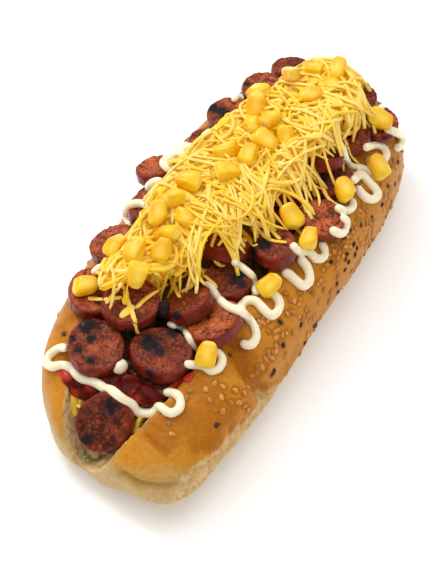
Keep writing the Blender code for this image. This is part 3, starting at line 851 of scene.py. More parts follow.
class SeedSettings(bpy.types.PropertyGroup):
    """The sesame."""

    length: length_property("Length", "Length of a seed", 2.6 * MM)
    width: length_property("Width", "Width of a seed", 1.8 * MM)
    thickness: length_property("Thickness", "Thickness of a seed", 0.95 * MM)
    scattered: IntProperty(name="Scattered", description="Pale seeds over the whole crust", default=850)
    dark: IntProperty(name="Dark", description="Dark seeds over the parts not photographed", default=90)
    pale_colour: colour_property("Pale seed", "Colour of the pale seeds", (0.51, 0.210, 0.036))
    dark_colour: colour_property("Dark seed", "Colour of the dark seeds", (0.040, 0.018, 0.009))


class StageSettings(bpy.types.PropertyGroup):
    """The floor and the lights."""

    floor: colour_property("Floor", "Colour of the floor", (0.93, 0.93, 0.925))
    glow: FloatProperty(name="Glow", description="Light that the floor gives off", default=0.16, min=0)
    overhead: FloatProperty(name="Overhead", description="Power of the large light above", default=9.0,
                            min=0, unit="POWER")
    key: FloatProperty(name="Key", description="Power of the small light from behind the left side",
                       default=3.5, min=0, unit="POWER")
    sky: FloatProperty(name="Sky", description="Strength of the light from all round", default=0.72, min=0)
    mirrored: FloatProperty(name="Mirrored sky", description="Strength of the sky as gloss mirrors it",
                            default=0.25, min=0)


# ---------------------------------------------------------------- bread


# What the bread's colours are multiplied by in the crust's flecks, in the crumb's stains and where it tore.
CRUST_FLECK = (0.86, 0.80, 0.70)
CRUMB_STAIN = (0.84, 0.72, 0.55)
TORN_SHADE = (0.74, 0.66, 0.58)

# The middle of the rounded shape that the roll's outside follows, and half that shape's height.
ROLL_MIDDLE = 19 * MM
ROLL_HALF_HEIGHT = 35 * MM


def bread_finish(look):
    finish = Finish("Crust and crumb", Coat_Weight=0.06, Coat_Roughness=0.3, Specular_IOR_Level=0.12,
                    Subsurface_Weight=0.06, Subsurface_Scale=0.003, Subsurface_Radius=(1.0, 0.5, 0.25))
    tree = finish.tree
    # The mask that the crust's colour follows holds the bake, and also painted shade in the folds, in spots
    # and round each seed, and painted light in a few spots.
    bake_and_shade = read_mask(tree, "bake_and_shade")
    crumb = read_mask(tree, "crumb")
    pore = read_mask(tree, "pore")
    patch = finish.mottle((1, 1, 1), (0, 0, 0), 9 * MM, edge=0.25)["Mask"]
    shift = calculated(tree, "MULTIPLY_ADD", patch, -0.26, 0.15)
    level = calculated(tree, "ADD", bake_and_shade, shift, clamp=True)
    low = mixed(tree, ranged(tree, level, 0.05, 0.45), look.foot, look.light)
    golden = mixed(tree, ranged(tree, level, 0.40, 0.75), low, look.gold)
    baked = mixed(tree, ranged(tree, level, 0.78, 1.05), golden, look.brown)
    fleck = finish.mottle((1, 1, 1), CRUST_FLECK, 1.6 * MM, edge=0.2)["Color"]
    crust = mixed(tree, 1.0, baked, fleck, blend="MULTIPLY")
    inside = finish.mottle(look.crumb, tinted(look.crumb, CRUMB_STAIN), 2.6 * MM)["Color"]
    # Painted shade in the crumb's pores, which are darkened towards the foot's colour.
    hollow = mixed(tree, calculated(tree, "MULTIPLY", pore, 0.45), inside, look.foot)
    frayed = mixed(tree, read_mask(tree, "torn"), hollow, TORN_SHADE, blend="MULTIPLY")
    colour = mixed(tree, crumb, crust, frayed)
    finish.feed("Base Color", colour)
    finish.feed("Roughness", ranged(tree, crumb, 0.0, 1.0, 0.42, 0.85))
    finish.bump(2.4 * MM, 0.55 * MM, 0.4, 0.25 * MM, 0.6)
    return finish.material


def set_foot_and_lean(points, look):
    """Draws the foot out at the front right corner and along that side, and leans the front left lobe in
    over the cut."""
    x, y, z = points.T.copy()
    corner = np.exp(-((x - 40 * MM) / (16 * MM)) ** 2 - ((y + 98 * MM) / (24 * MM)) ** 2)
    side = 0.5 * eased(y, 25 * MM, -50 * MM) * eased(x, 20 * MM, 38 * MM)
    out = look.corner * np.maximum(corner, side) * eased(z, 22 * MM, 13 * MM)
    away = np.hypot(x, 0.45 * y)
    points[:, 0] += out * x / away
    points[:, 1] += out * 0.45 * y / away
    lobe = eased(y, -66 * MM, -82 * MM) * eased(x, -40 * MM, -25 * MM) * eased(x, -4 * MM, -12 * MM)
    points[:, 0] += look.lean * lobe * eased(z, 5 * MM, 13 * MM)


def rounded_bread(look, solid):
    """The roll's skin, rounded where it is crust and crisp at the rim of the cut, and the direction that
    faces out of the roll at each point."""
    points, faces = mesh_arrays(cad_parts["bun"])
    low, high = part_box("bun")
    skin = Skin(remeshed("bread", points, faces, look.skin))
    skin.relax(3)
    crisp = skin.points.copy()
    skin.relax(10)
    pixel, radius, depth = WORN_LIP
    lip, _ = cast(solid, pixel)
    for shape in (crisp, skin.points):
        set_foot_and_lean(shape, look)
        near_lip = np.exp(-(np.linalg.norm(shape[:, :2] - lip[:2], axis=1) / radius) ** 2)
        shape[:, 2] -= near_lip * np.clip(0.4 * (shape[:, 2] - 3 * MM), 0, depth)

    reach = np.array([(high[0] - low[0]) / 2, (high[1] - low[1]) / 2, ROLL_HALF_HEIGHT])
    outward = (skin.points - np.array([0, 0, ROLL_MIDDLE])) / reach ** 2
    outward /= np.linalg.norm(outward, axis=1, keepdims=True)
    at_rim = skin.spread(np.exp(-((skin.normals() * outward).sum(axis=1) / 0.35) ** 2), 2)[:, None]
    skin.points = crisp * at_rim + skin.points * (1 - at_rim)
    return skin, outward


def torn_sides(skin, solid, normals, on_crust):
    """Where the crust tore from its neighbours, low down along the sides, and left a pale fibrous band."""
    x, y, height = skin.points.T
    ragged = 2.2 * MM * lumps(skin.points, 7 * MM, 5) + 2.0 * MM * lumps(skin.points, 2.2 * MM, 6)
    ragged += 0.8 * MM * lumps(skin.points, 1.0 * MM, 7)
    line, _ = cast_line(solid, TORN_EDGE, "the torn edge")
    order = np.argsort(line[:, 1])
    band = np.interp(y, line[order, 1], line[order, 2])
    band *= eased(y, 45 * MM, -20 * MM)
    band *= np.where(x > 0, 1, 0.5)
    beside = eased(np.abs(normals[:, 0]), 0.55, 0.75) * on_crust
    return beside * eased(height - band + ragged, 0.5 * MM, -0.5 * MM) * eased(height, 0.2 * MM, 1.2 * MM)


def folded_crust(skin, solid, facing, grounded):
    """How high the crust's folds and the wrinkles beside the cut stand, and how deep in a fold each
    point lies, which is painted as shade in the folds."""
    folds = np.zeros(len(skin.points))
    shade = np.zeros(len(skin.points))
    for pixels, depth, width in CRUST_FOLDS:
        line, _ = cast_line(solid, pixels, "a fold of the crust")
        away = distance_to_line(skin.points, line) / width
        folds += depth * (0.2 * np.exp(-((away - 2.1) / 1.1) ** 2) - np.exp(-away ** 2))
        shade = np.maximum(shade, np.exp(-away ** 2))
    near_cut = np.exp(-(facing / 0.35) ** 2)
    for side in (-1, 1):
        wrinkle = lumps(skin.points * (0.35, 1, 1), 1.7 * MM, 9 + side)
        folds += side * 0.06 * MM * wrinkle * near_cut * grounded
    return folds, shade


def baked_and_shaded_crust(skin, solid, height, facing, on_crust, shade):
    """How brown each point is baked: little at the foot and the rim of the cut. On top of the bake it
    carries painted shade in the folds and in the browner spots on the front right lobe, and painted light in
    the paler spots on the right flank.
    """
    patchy = 3 * MM * lumps(skin.points, 16 * MM, 13) + 1.2 * MM * lumps(skin.points, 5 * MM, 14)
    front = eased(skin.points[:, 1], -66 * MM, -98 * MM)
    foot = 3 * MM + front * (9 * MM + 4 * MM * eased(skin.points[:, 0], -8 * MM, 12 * MM))
    bake_and_shade = eased(height + patchy, foot - 1 * MM, foot + 12 * MM + 6 * MM * front)
    # The term in shade is painted shade in the folds.
    bake_and_shade = bake_and_shade * (0.82 + 0.10 * eased(height, 22 * MM, 40 * MM)) + 0.22 * shade
    bake_and_shade -= 0.35 * np.exp(-((facing - 0.02) / 0.10) ** 2) * on_crust
    for x, y, radius, change in BAKED_AND_SHADED_SPOTS:
        spot, _ = cast(solid, (x, y))
        bake_and_shade += change * np.exp(-(np.linalg.norm(skin.points - spot, axis=1) / (radius * MM)) ** 2)
    return bake_and_shade


def shape_bread(look):
    solid = surface_of(["bun"])
    skin, outward = rounded_bread(look, solid)

    # The crumb shows where the surface faces the roll's own middle: the walls of the cut.
    normals = skin.normals()
    facing = (normals * outward).sum(axis=1)
    ragged = 0.08 * lumps(skin.points, 2.5 * MM, 3) + 0.05 * lumps(skin.points, 1.1 * MM, 4)
    crumb = eased(-facing + ragged, 0.10, 0.24)
    on_crust = 1 - crumb
    torn = torn_sides(skin, solid, normals, on_crust)

    height = skin.points[:, 2]
    swell = lumps(skin.points, 30 * MM, 1) + 0.45 * lumps(skin.points, 13 * MM, 2)
    grounded = eased(height, 0.3 * MM, 4 * MM)
    shift = look.unevenness * swell * grounded * (0.4 + 0.6 * on_crust)
    shift += 0.10 * MM * lumps(skin.points, 4.5 * MM, 8) * on_crust * grounded
    skin.push(shift)
    folds, shade = folded_crust(skin, solid, facing, grounded)
    skin.push(folds * grounded)

    nearest, _, _ = pebbles(skin.points, look.pore, 11)
    fine, _, _ = pebbles(skin.points, 0.55 * look.pore, 17)
    hole = np.maximum(eased(nearest, 0.42, 0.10), 0.7 * eased(fine, 0.40, 0.10))
    open_crumb = np.maximum(crumb, torn)
    fibre = lumps(skin.points * (1, 0.6, 0.45), 1.3 * MM, 12)
    skin.push((-0.75 * MM * hole + 0.40 * MM * fibre) * open_crumb - 0.7 * MM * torn)
    skin.points[:, 2] = np.maximum(skin.points[:, 2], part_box("bun")[0][2])

    # Besides the bake, this mask holds painted shade in the folds and spots and painted light in a few
    # spots; the seeds later add painted shade round each of them.
    bake_and_shade = baked_and_shaded_crust(skin, solid, height, facing, on_crust, shade)
    skin.mask("bake_and_shade", skin.spread(bake_and_shade, 2))
    skin.mask("crumb", skin.spread(open_crumb, 1))
    skin.mask("pore", hole)
    skin.mask("torn", torn)
    return skin.finished()


class CHORIPAN_OT_bread(bpy.types.Operator):
    """Make the split roll: crust, folds, torn sides and the open crumb of the cut"""

    bl_idname = "object.choripan_bread"
    bl_label = "Bread"

    def execute(self, context):
        look = context.scene.choripan_bread
        add_piece("bread", shape_bread(look), bread_finish(look), ["bun"])
        return {"FINISHED"}


# ---------------------------------------------------------------- relish


# The relish's red bits, its darker patches, and the darker colour in the sunk gaps between the bits.
RED_BIT = (0.30, 0.03, 0.01)
DARK_PATCH = (0.16, 0.14, 0.05)
GAP_COLOUR = (0.17, 0.115, 0.035)

# How far apart the bits lie.
RELISH_BIT = 3.2 * MM


def relish_finish(look):
    finish = Finish("Relish", Roughness=0.35, Coat_Weight=0.3, Coat_Roughness=0.2)
    tree = finish.tree
    bit = read_mask(tree, "bit")
    between_bits = read_mask(tree, "between_bits")
    bits = mixed(tree, ranged(tree, bit, 0.45, 0.55), look.green, look.onion)
    red = mixed(tree, ranged(tree, bit, 0.92, 0.95), bits, RED_BIT)
    uneven = finish.mottle(red, DARK_PATCH, 1.8 * MM, edge=0.2, level=0.62)["Color"]
    sauced = read_mask(tree, "sauced")
    dressed = mixed(tree, sauced, uneven, look.juice)
    between = mixed(tree, sauced, GAP_COLOUR, look.juice)
    finish.feed("Base Color", mixed(tree, between_bits, dressed, between))
    finish.bump(1.5 * MM, 0.5 * MM, 0.4, 0.2 * MM, 0.5)
    return finish.material


def shape_relish():
    points, faces = mesh_arrays(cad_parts["relish"])
    skin = Skin(remeshed("relish", points, faces, 0.9 * MM))
    skin.relax(3)
    nearest, gap, label = pebbles(skin.points, RELISH_BIT, 21)
    skin.push(0.7 * MM * eased(nearest, 0.7, 0.2) - 0.5 * MM * eased(gap, 0.2, 0.0))
    skin.mask("bit", label)
    skin.mask("between_bits", eased(gap, 0.25, 0.02))
    stain = skin.points[:, 1] + 5 * MM * lumps(skin.points, 6 * MM, 22)
    skin.mask("sauced", 0.9 * eased(stain, -92 * MM, -80 * MM))
    return skin.finished()


class CHORIPAN_OT_relish(bpy.types.Operator):
    """Make the bed of chopped relish in the bottom of the cut"""

    bl_idname = "object.choripan_relish"
    bl_label = "Relish"

    def execute(self, context):
        look = context.scene.choripan_sauce
        add_piece("relish_bed", shape_relish(), relish_finish(look), ["relish"])
        return {"FINISHED"}


# ---------------------------------------------------------------- sausage


def sausage_finish(look):
    finish = Finish("Grilled sausage", Coat_Roughness=0.16, Specular_IOR_Level=0.16)
    tree = finish.tree
    cut = read_mask(tree, "cut")
    char = read_mask(tree, "char")
    pit_shade_and_scorch = read_mask(tree, "pit_shade_and_scorch")
    tone = read_mask(tree, "tone")
    edge = read_mask(tree, "edge")
    coarse = finish.mottle((0, 0, 0), (1, 1, 1), 3.4 * MM, edge=0.22)["Mask"]
    level = calculated(tree, "MULTIPLY_ADD", coarse, 0.8, tone)
    dark_to_red = mixed(tree, ranged(tree, level, 0.1, 0.75), look.dark, look.red)
    meat = mixed(tree, ranged(tree, level, 0.7, 1.6), dark_to_red, look.orange)
    flecked = finish.mottle(meat, look.fat, 1.1 * MM, edge=0.04, level=0.62)
    face = mixed(tree, calculated(tree, "MULTIPLY_ADD", tone, 0.6, 0.15), meat, flecked["Color"])
    speckled = finish.mottle(face, look.dark, 0.8 * MM, edge=0.06, level=0.59)["Color"]
    # Painted shade in the meat's crevices and pits, and the real scorch round the char spots and darker
    # smudges, all darken the face.
    shaded_and_scorched = mixed(tree, calculated(tree, "MULTIPLY", pit_shade_and_scorch, 0.75), speckled, look.dark)
    rim = tinted(look.casing, 1.9)
    rimmed = mixed(tree, calculated(tree, "MULTIPLY", edge, 0.6), shaded_and_scorched, rim)
    casing = finish.mottle(look.casing, rim, 5 * MM, edge=0.2)
    body = mixed(tree, cut, casing["Color"], rimmed)
    finish.feed("Base Color", mixed(tree, char, body, look.char))
    finish.feed("Coat Weight", ranged(tree, cut, 0.0, 1.0, 0.13, 0.08))
    smooth = ranged(tree, cut, 0.0, 1.0, 0.30, 0.46)
    finish.feed("Roughness", calculated(tree, "MULTIPLY_ADD", char, 0.35, smooth))
    finish.bump(1.0 * MM, 0.32 * MM, 0.45, 0.30 * MM, 0.8)
    return finish.material


def char_masks(skin, spots, draw, middle, axes):
    """Burnt spots, read in the photograph or on a hidden face some of its own, and the scorch round them."""
    tree = BVHTree.FromPolygons(skin.points.tolist(), [list(face.vertices) for face in skin.mesh.polygons])
    marks = []
    for x, y, radius in spots:
        hit = cast(tree, (x, y))
        if hit:
            marks.append((hit[0], radius * MM))
    for side in (-1, 1):
        for _ in range(draw.integers(1, 3)):
            turn = draw.uniform(0, math.tau)
            reach = draw.uniform(2, 8) * MM
            place = middle + axes[0] * math.cos(turn) * reach + axes[1] * math.sin(turn) * reach
            if side * axes[2][2] < 0 or not spots:
                marks.append((place + axes[2] * side * 3.2 * MM, draw.uniform(1.0, 2.6) * MM))
    ragged = 0.45 * lumps(skin.points, 2.0 * MM, 31) + 0.35 * lumps(skin.points, 0.9 * MM, 32)
    burnt = np.zeros(len(skin.points))
    scorched = burnt.copy()
    for place, radius in marks:
        away = np.linalg.norm(skin.points - place, axis=1) / radius
        burnt = np.maximum(burnt, eased(away + ragged, 1.30, 0.60))
        scorched = np.maximum(scorched, eased(away + 1.6 * ragged, 2.5, 0.9))
    return burnt, scorched


def shape_slice(node, look):
    number = node.rsplit("_", 1)[1]
    tone, spots = SLICE_LOOKS[number]
    draw = np.random.default_rng(int(number))
    points, faces = mesh_arrays(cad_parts[node])
    middle, axes = main_axes(points)
    skin = Skin(remeshed("slice_" + number, points, faces, look.skin))
    skin.relax(3)
    normals = skin.normals()
    offset = skin.points - middle
    depth = offset @ axes[2]
    radial = offset - depth[:, None] * axes[2]
    radius = np.linalg.norm(radial, axis=1)
    turn = np.arctan2(radial @ axes[1], radial @ axes[0])
    ways = np.linspace(-math.pi, math.pi, 33)
    edge_radius = np.array([radius[np.abs(turn - way) < 0.2].max() for way in ways])
    share = radius / np.interp(turn, ways, edge_radius)
    cut = skin.spread(eased(np.abs(normals @ axes[2]), 0.45, 0.8), 2)

    seed = 100 + 10 * int(number)
    _, gap, _ = pebbles(skin.points, look.grain, seed)
    crevice = eased(gap, 0.30, 0.02) * eased(lumps(skin.points, 4 * MM, seed + 5), -0.5, 0.2)
    small_pit = eased(lumps(skin.points, 1.5 * MM, seed + 6), 0.42, 0.70)
    ring = np.exp(-((share - 0.93) / 0.055) ** 2)
    face_relief = (
        0.5 * look.relief * lumps(skin.points, 4.2 * MM, seed + 7)
        + 0.35 * look.relief * lumps(skin.points, 1.1 * MM, seed + 8)
        - look.relief * crevice
        - 1.1 * look.relief * small_pit
        + 0.30 * MM * ring * (1 + lumps(skin.points, 5 * MM, seed + 9))
        - 0.35 * MM * eased(share, 0.85, 0.3)
    )
    wrinkle = lumps(np.stack([turn * 9, depth / (5 * MM), turn * 0], axis=1), 1.0, seed + 10)
    side_relief = 0.16 * MM * wrinkle + 0.12 * MM * lumps(skin.points, 1.4 * MM, seed + 11)
    outline = 0.40 * MM * lumps(skin.points, 8 * MM, seed + 12)
    skin.push(outline + cut * face_relief + (1 - cut) * side_relief)

    char, scorched = char_masks(skin, spots, draw, middle, axes)
    skin.push(0.12 * MM * char * (1 + lumps(skin.points, 1.0 * MM, 33)))
    skin.mask("cut", cut)
    skin.mask("char", char * 0.96)
    smudge = 0.5 * eased(lumps(skin.points, 5 * MM, seed + 13), 0.25, 0.7)
    # This mask is painted shade in the crevices and pits, with the scorch round the char spots and darker
    # smudges.
    skin.mask("pit_shade_and_scorch", np.maximum(np.maximum(crevice, small_pit), np.maximum(0.75 * scorched, smudge)) * cut)
    skin.mask("edge", ring * cut)
    skin.mask("tone", np.full(len(skin.points), tone))
    return skin.finished()


class CHORIPAN_OT_sausage(bpy.types.Operator):
    """Make the grilled sausage slices, each in the place of its own solid"""

    bl_idname = "object.choripan_sausage"
    bl_label = "Sausage slices"

    def execute(self, context):
        look = context.scene.choripan_sausage
        material = sausage_finish(look)
        for node, name in zip(SLICE_NODES, GRILLED):
            add_piece(name, shape_slice(node, look), material, [node])

        ground = surface_of(["bread"] + GRILLED)
        # Dark strips between the slices; the darkest is painted shade in a gap there.
        dark_strips = Parts()
        for pixels, radius, burnt in DARK_GAP_STRIPS:
            path, ups = draped(ground, pixels, radius * MM, "a dark gap strip")
            dark_strips.add(*rounded_tube(path, radius * MM, ups), burnt)
        add_piece("dark_gap_strips", dark_strips.mesh("dark_gap_strips", "char"), material)
        return {"FINISHED"}


# ---------------------------------------------------------------- corn


def corn_finish(look):
    # Painted glow: the kernels give off a little golden light of their own.
    finish = Finish("Corn", Roughness=0.28, Coat_Weight=0.20, Coat_Roughness=0.12, Specular_IOR_Level=0.28,
                    Emission_Color=opaque(look.glow), Emission_Strength=0.05)
    tree = finish.tree
    crown = read_mask(tree, "crown")
    germ = read_mask(tree, "germ")
    tip = read_mask(tree, "tip")
    # Deeper orange on the sides than on the crown: partly the kernel's own colour, partly painted shade.
    skin = mixed(tree, ranged(tree, crown, 0.25, 0.95), look.side, look.crown)
    uneven = finish.mottle(skin, tinted(look.side, 0.93), 3.2 * MM, edge=0.3, level=0.62)["Color"]
    pale = mixed(tree, calculated(tree, "MULTIPLY", germ, 0.70), uneven, look.germ)
    finish.feed("Base Color", mixed(tree, tip, pale, look.tip))
    finish.bump(2.2 * MM, 0.7 * MM, 0.3, 0.08 * MM, 0.5)
    return finish.material


def kernel_mesh(name, size, rows, seed):
    """A corn kernel with its crown at +Y: a rounded tooth with a dent in the crown, a pale germ, a cut
    tip and the flats that its neighbours pressed into it. size is width, length and thickness."""
    draw = np.random.default_rng(seed)
    sides = int(rows * 1.4)
    latitude = (np.arange(rows) + 0.5) / rows * math.pi
    longitude = np.arange(sides) / sides * math.tau
    lat, lon = (grid.ravel() for grid in np.meshgrid(latitude, longitude, indexing="ij"))
    y = -np.cos(lat)
    power = np.where(y > 0, 3.0, 4.0)
    round_out = (1 - np.abs(y) ** power) ** (1 / np.where(y > 0, 2.5, 3.0))
    square = draw.uniform(0.46, 0.68)
    x = round_out * np.sign(np.cos(lon)) * np.abs(np.cos(lon)) ** square
    z = round_out * np.sign(np.sin(lon)) * np.abs(np.sin(lon)) ** square
    taper = 1 - draw.uniform(0.20, 0.36) * (1 - y) / 2
    x = x * taper
    z = z * (1 - 0.12 * (1 - y) / 2)
    from_crown = np.hypot(x / 0.55, z / 0.5)
    dent = np.exp(-from_crown ** 2) * eased(y, 0.4, 0.9)
    y = y - draw.uniform(0.06, 0.16) * dent
    germ = np.exp(-(x / 0.36) ** 2 - ((y + 0.05) / 0.55) ** 2) * eased(z, 0.2, 0.6)
    z = z - 0.13 * germ
    lean = draw.uniform(-0.10, 0.10)
    x = x + lean * y
    points = np.stack([x, y, z], axis=1)
    bumps = lumps(points, 0.9, seed) * 0.045 + lumps(points, 0.4, seed + 1) * 0.015
    points = points * (1 + bumps[:, None])
    for _ in range(draw.integers(5, 9)):
        facing = draw.normal(size=3)
        facing /= np.linalg.norm(facing)
        reach = points @ facing
        over = np.maximum(reach - draw.uniform(0.74, 0.90) * reach.max(), 0)
        points = points - 0.92 * over[:, None] * facing
    points = points * np.array(size) / 2
    mesh = bpy.data.meshes.new(name)
    mesh.from_pydata(points.tolist(), [], tube_faces(rows, sides))
    store_mask(mesh, "crown", (1 + y) / 2)
    store_mask(mesh, "germ", np.maximum(germ, dent))
    store_mask(mesh, "tip", eased(y, -0.80, -0.93))
    return mesh


def kernel_place(node):
    """A kernel node's size, and the matrix that takes the kernel mesh to it, crown to crown."""
    points, _ = mesh_arrays(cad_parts[node])
    middle, axes = main_axes(points)
    long, wide, thin = axes
    reach = (points - middle) @ long
    breadth = np.abs((points - middle) @ wide)
    half = reach.max() * 0.35
    if breadth[reach > half].max() < breadth[reach < -half].max():
        long = -long
    if thin[2] < 0:
        thin = -thin
    wide = np.cross(long, thin)
    size = [np.ptp((points - middle) @ axis) for axis in (wide, long, thin)]
    turn = Matrix((wide, long, thin)).transposed().to_4x4()
    return size, Matrix.Translation(middle) @ turn


# How far a loose kernel's middle stands off the cheese, in its own thickness.
LOOSE_KERNEL_LIFT = 0.3


class CHORIPAN_OT_corn(bpy.types.Operator):
    """Make the corn kernels, each in the place of its own solid, and two more on the cheese"""

    bl_idname = "object.choripan_corn"
    bl_label = "Corn kernels"

    def execute(self, context):
        look = context.scene.choripan_corn
        material = corn_finish(look)
        for number, node in enumerate(KERNEL_NODES):
            size, place = kernel_place(node)
            mesh = kernel_mesh(node + "_ripe", np.array(size) * look.plump, look.rows,
                               KERNEL_SEED + number)
            mesh.transform(place)
            add_piece(node + "_ripe", mesh, material, [node])
        heap = surface_of(["cheese_heap"] + SLICE_NODES + KERNEL_NODES)
        for number, (pixel, size, turns) in enumerate(LOOSE_KERNELS):
            hit = cast(heap, pixel)
            if hit is None:
                raise RuntimeError(f"the loose kernel at pixel {pixel} misses the cheese")
            name = f"loose_kernel_{number}"
            mesh = kernel_mesh(name, np.array(size) * MM, look.rows, LOOSE_KERNEL_SEED + number)
            for axis, turn in zip("XYZ", turns):
                mesh.transform(Matrix.Rotation(math.radians(turn), 4, axis))
            mesh.transform(Matrix.Translation(hit[0] + hit[1] * size[2] * LOOSE_KERNEL_LIFT * MM))
            add_piece(name, mesh, material)
        return {"FINISHED"}


# ---------------------------------------------------------------- cheese


class HeightMap:
    """How high the food stands over each spot, growing as shreds are laid on it."""

    STEP = 0.5 * MM

    def __init__(self, tree, low, high):
        self.low = np.array([low[0], low[1]])
        self.shape = tuple(((np.array([high[0], high[1]]) - self.low) / self.STEP).astype(int) + 1)
        self.heights = np.zeros(self.shape)
        down = Vector((0, 0, -1))
        top = high[2] + 0.02
        for i, j in product(*(range(count) for count in self.shape)):
            spot = self.low + np.array([i, j]) * self.STEP
            place = tree.ray_cast(Vector((spot[0], spot[1], top)), down)[0]
            if place is not None:
                self.heights[i, j] = place[2]

    def cells(self, spots):
        cells = np.rint((spots - self.low) / self.STEP).astype(int)
        return np.clip(cells, 0, np.array(self.shape) - 1)

    def at(self, spots):
        i, j = self.cells(spots).T
        return self.heights[i, j]

    def stamp(self, path, half_width, top):
        """Raises the map along a path to the path's height and `top` above it."""
        reach = int(half_width / self.STEP)
        for i, j in product(range(-reach, reach + 1), repeat=2):
            if math.hypot(i, j) * self.STEP > half_width:
                continue
            a, b = self.cells(path[:, :2] + np.array([i, j]) * self.STEP).T
            np.maximum.at(self.heights, (a, b), path[:, 2] + top)


# What the cheese's colour is multiplied by in its yellower patches.
CHEESE_SHADE = (0.97, 0.90, 0.66)

# A shred's rings, and the corners of its section in half widths and half thicknesses.
SHRED_RINGS = 14
SHRED_CORNERS = ((1.0, 0.1), (0.74, 1.0), (-0.74, 1.0), (-1.0, 0.1), (-0.74, -1.0), (0.74, -1.0))


def shred_body(path, width, thickness, draw, ups=(0.0, 0.0, 1.0)):
    """One grated shred along a path: a flat strip with soft corners, pinched ends and a slight twist."""
    share = np.linspace(0, 1, len(path))
    pinch = draw.uniform(0.4, 1.0, 2)
    ends = np.minimum(pinch[0] + share / 0.10, pinch[1] + (1 - share) / 0.10)
    wave = 1 + 0.12 * np.sin(share * draw.uniform(4, 9) + draw.uniform(0, 6))
    breadth = width / 2 * np.clip(ends, 0, 1) * wave
    twist = draw.normal(0, 0.35) + draw.normal(0, 0.5) * (share - 0.5)
    corners = np.array(SHRED_CORNERS)
    flat = np.stack([breadth[:, None] * corners[:, 0],
                     thickness / 2 * np.broadcast_to(corners[:, 1], (len(path), len(corners)))], axis=2)
    cos, sin = np.cos(twist)[:, None], np.sin(twist)[:, None]
    section = np.stack([flat[..., 0] * cos - flat[..., 1] * sin, flat[..., 0] * sin + flat[..., 1] * cos],
                       axis=2)
    return swept(path, section, np.broadcast_to(ups, path.shape)), tube_faces(len(path), len(corners))


def crawled(tree, start, heading, length, bend):
    """A strip that follows the food's surface from a spot on it, as points and the normals there. Where
    the surface turns under, it drops onto what lies below. None where nothing does."""
    place, normal, _, _ = tree.find_nearest(Vector(start))
    outward = Vector((normal.x, normal.y, 0)).normalized()
    step = length / (SHRED_RINGS - 1)
    path = []
    normals = []
    for _ in range(SHRED_RINGS):
        path.append(place)
        normals.append(normal)
        heading = Quaternion(normal, bend / SHRED_RINGS) @ heading
        heading = (heading - heading.dot(normal) * normal).normalized()
        place, normal, _, _ = tree.find_nearest(place + heading * step)
        if normal.z < -0.7:
            above = place + outward * 0.8 * MM
            place, normal, _, _ = tree.ray_cast(above, Vector((0, 0, -1)))
            if place is None:
                return None
    return evened(np.array(path), 5), evened(np.array(normals), 5)


def laid(plan, heights, thickness, stiffness):
    """Lets a strip down on the height map: it touches the high places and bridges the low ones, the more
    so the stiffer it is."""
    ground = heights.at(plan) + thickness / 2
    z = ground.copy()
    for _ in range(stiffness):
        padded = np.concatenate([[2 * z[0] - z[1]], z, [2 * z[-1] - z[-2]]])
        padded[0] = min(padded[0], z[0])
        padded[-1] = min(padded[-1], z[-1])
        z = np.maximum(ground, 0.25 * padded[:-2] + 0.5 * z + 0.25 * padded[2:])
    return np.column_stack([plan, z])


def arc(start, heading, length, bend, drift):
    """A strip's plan: points along a curve whose bend changes slowly."""
    share = np.linspace(0, 1, SHRED_RINGS)
    turn = heading + bend * share + drift * share ** 2
    step = length / (SHRED_RINGS - 1)
    moves = np.stack([np.cos(turn), np.sin(turn)], axis=1) * step
    return start + np.concatenate([[[0, 0]], np.cumsum(moves[:-1], axis=0)])


def cheese_finish(look):
    finish = Finish("Grated cheese", Roughness=0.5, Specular_IOR_Level=0.15,
                    Emission_Color=opaque(look.glow))
    tree = finish.tree
    pale = read_mask(tree, "pale")
    # Painted glow, strongest in the core deep in the heap, and the core's deeper orange is painted shade
    # between the shreds.
    finish.feed("Emission Strength", ranged(tree, pale, 0.0, 0.15, 0.20, 0.08))
    low = mixed(tree, ranged(tree, pale, 0.0, 0.15), look.deep, look.yellow)
    colour = mixed(tree, ranged(tree, pale, 0.15, 1.0), low, look.pale)
    yellower = mixed(tree, 1.0, colour, CHEESE_SHADE, blend="MULTIPLY")
    finish.feed("Base Color", finish.mottle(colour, yellower, 4 * MM, edge=0.25)["Color"])
    finish.bump(1.4 * MM, 0.4 * MM, 0.4, 0.08 * MM, 0.5)
    return finish.material


def shape_core(look):
    """The heap's smaller core: the heap solid drawn in under the loose shreds, but nowhere by more than
    the room inside it allows."""
    points, faces = mesh_arrays(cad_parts["cheese_heap"])
    skin = Skin(remeshed("cheese_core", points, faces, 1.0 * MM))
    skin.relax(5)
    solid = surface_of(["cheese_heap"])
    normals = skin.normals()
    start = 0.4 * MM
    room = np.full(len(skin.points), 1.0 * MM)
    for index, (point, normal) in enumerate(zip(skin.points, normals)):
        inside = Vector(point - normal * start)
        place = solid.ray_cast(inside, Vector(-normal))[0]
        if place is not None:
            room[index] = start + (place - inside).length
    open_side = 0.2 + 0.8 * eased(normals[:, 2], -0.5, 0.1)
    depth = skin.spread(np.minimum(look.depth * open_side, 0.42 * room), 6)
    strands = lumps(skin.points * (1, 0.4, 1), 1.6 * MM, 41) + 0.6 * lumps(skin.points, 0.9 * MM, 42)
    skin.push(-depth + 0.35 * MM * strands)
    skin.mask("pale", np.zeros(len(skin.points)))
    return skin.finished()


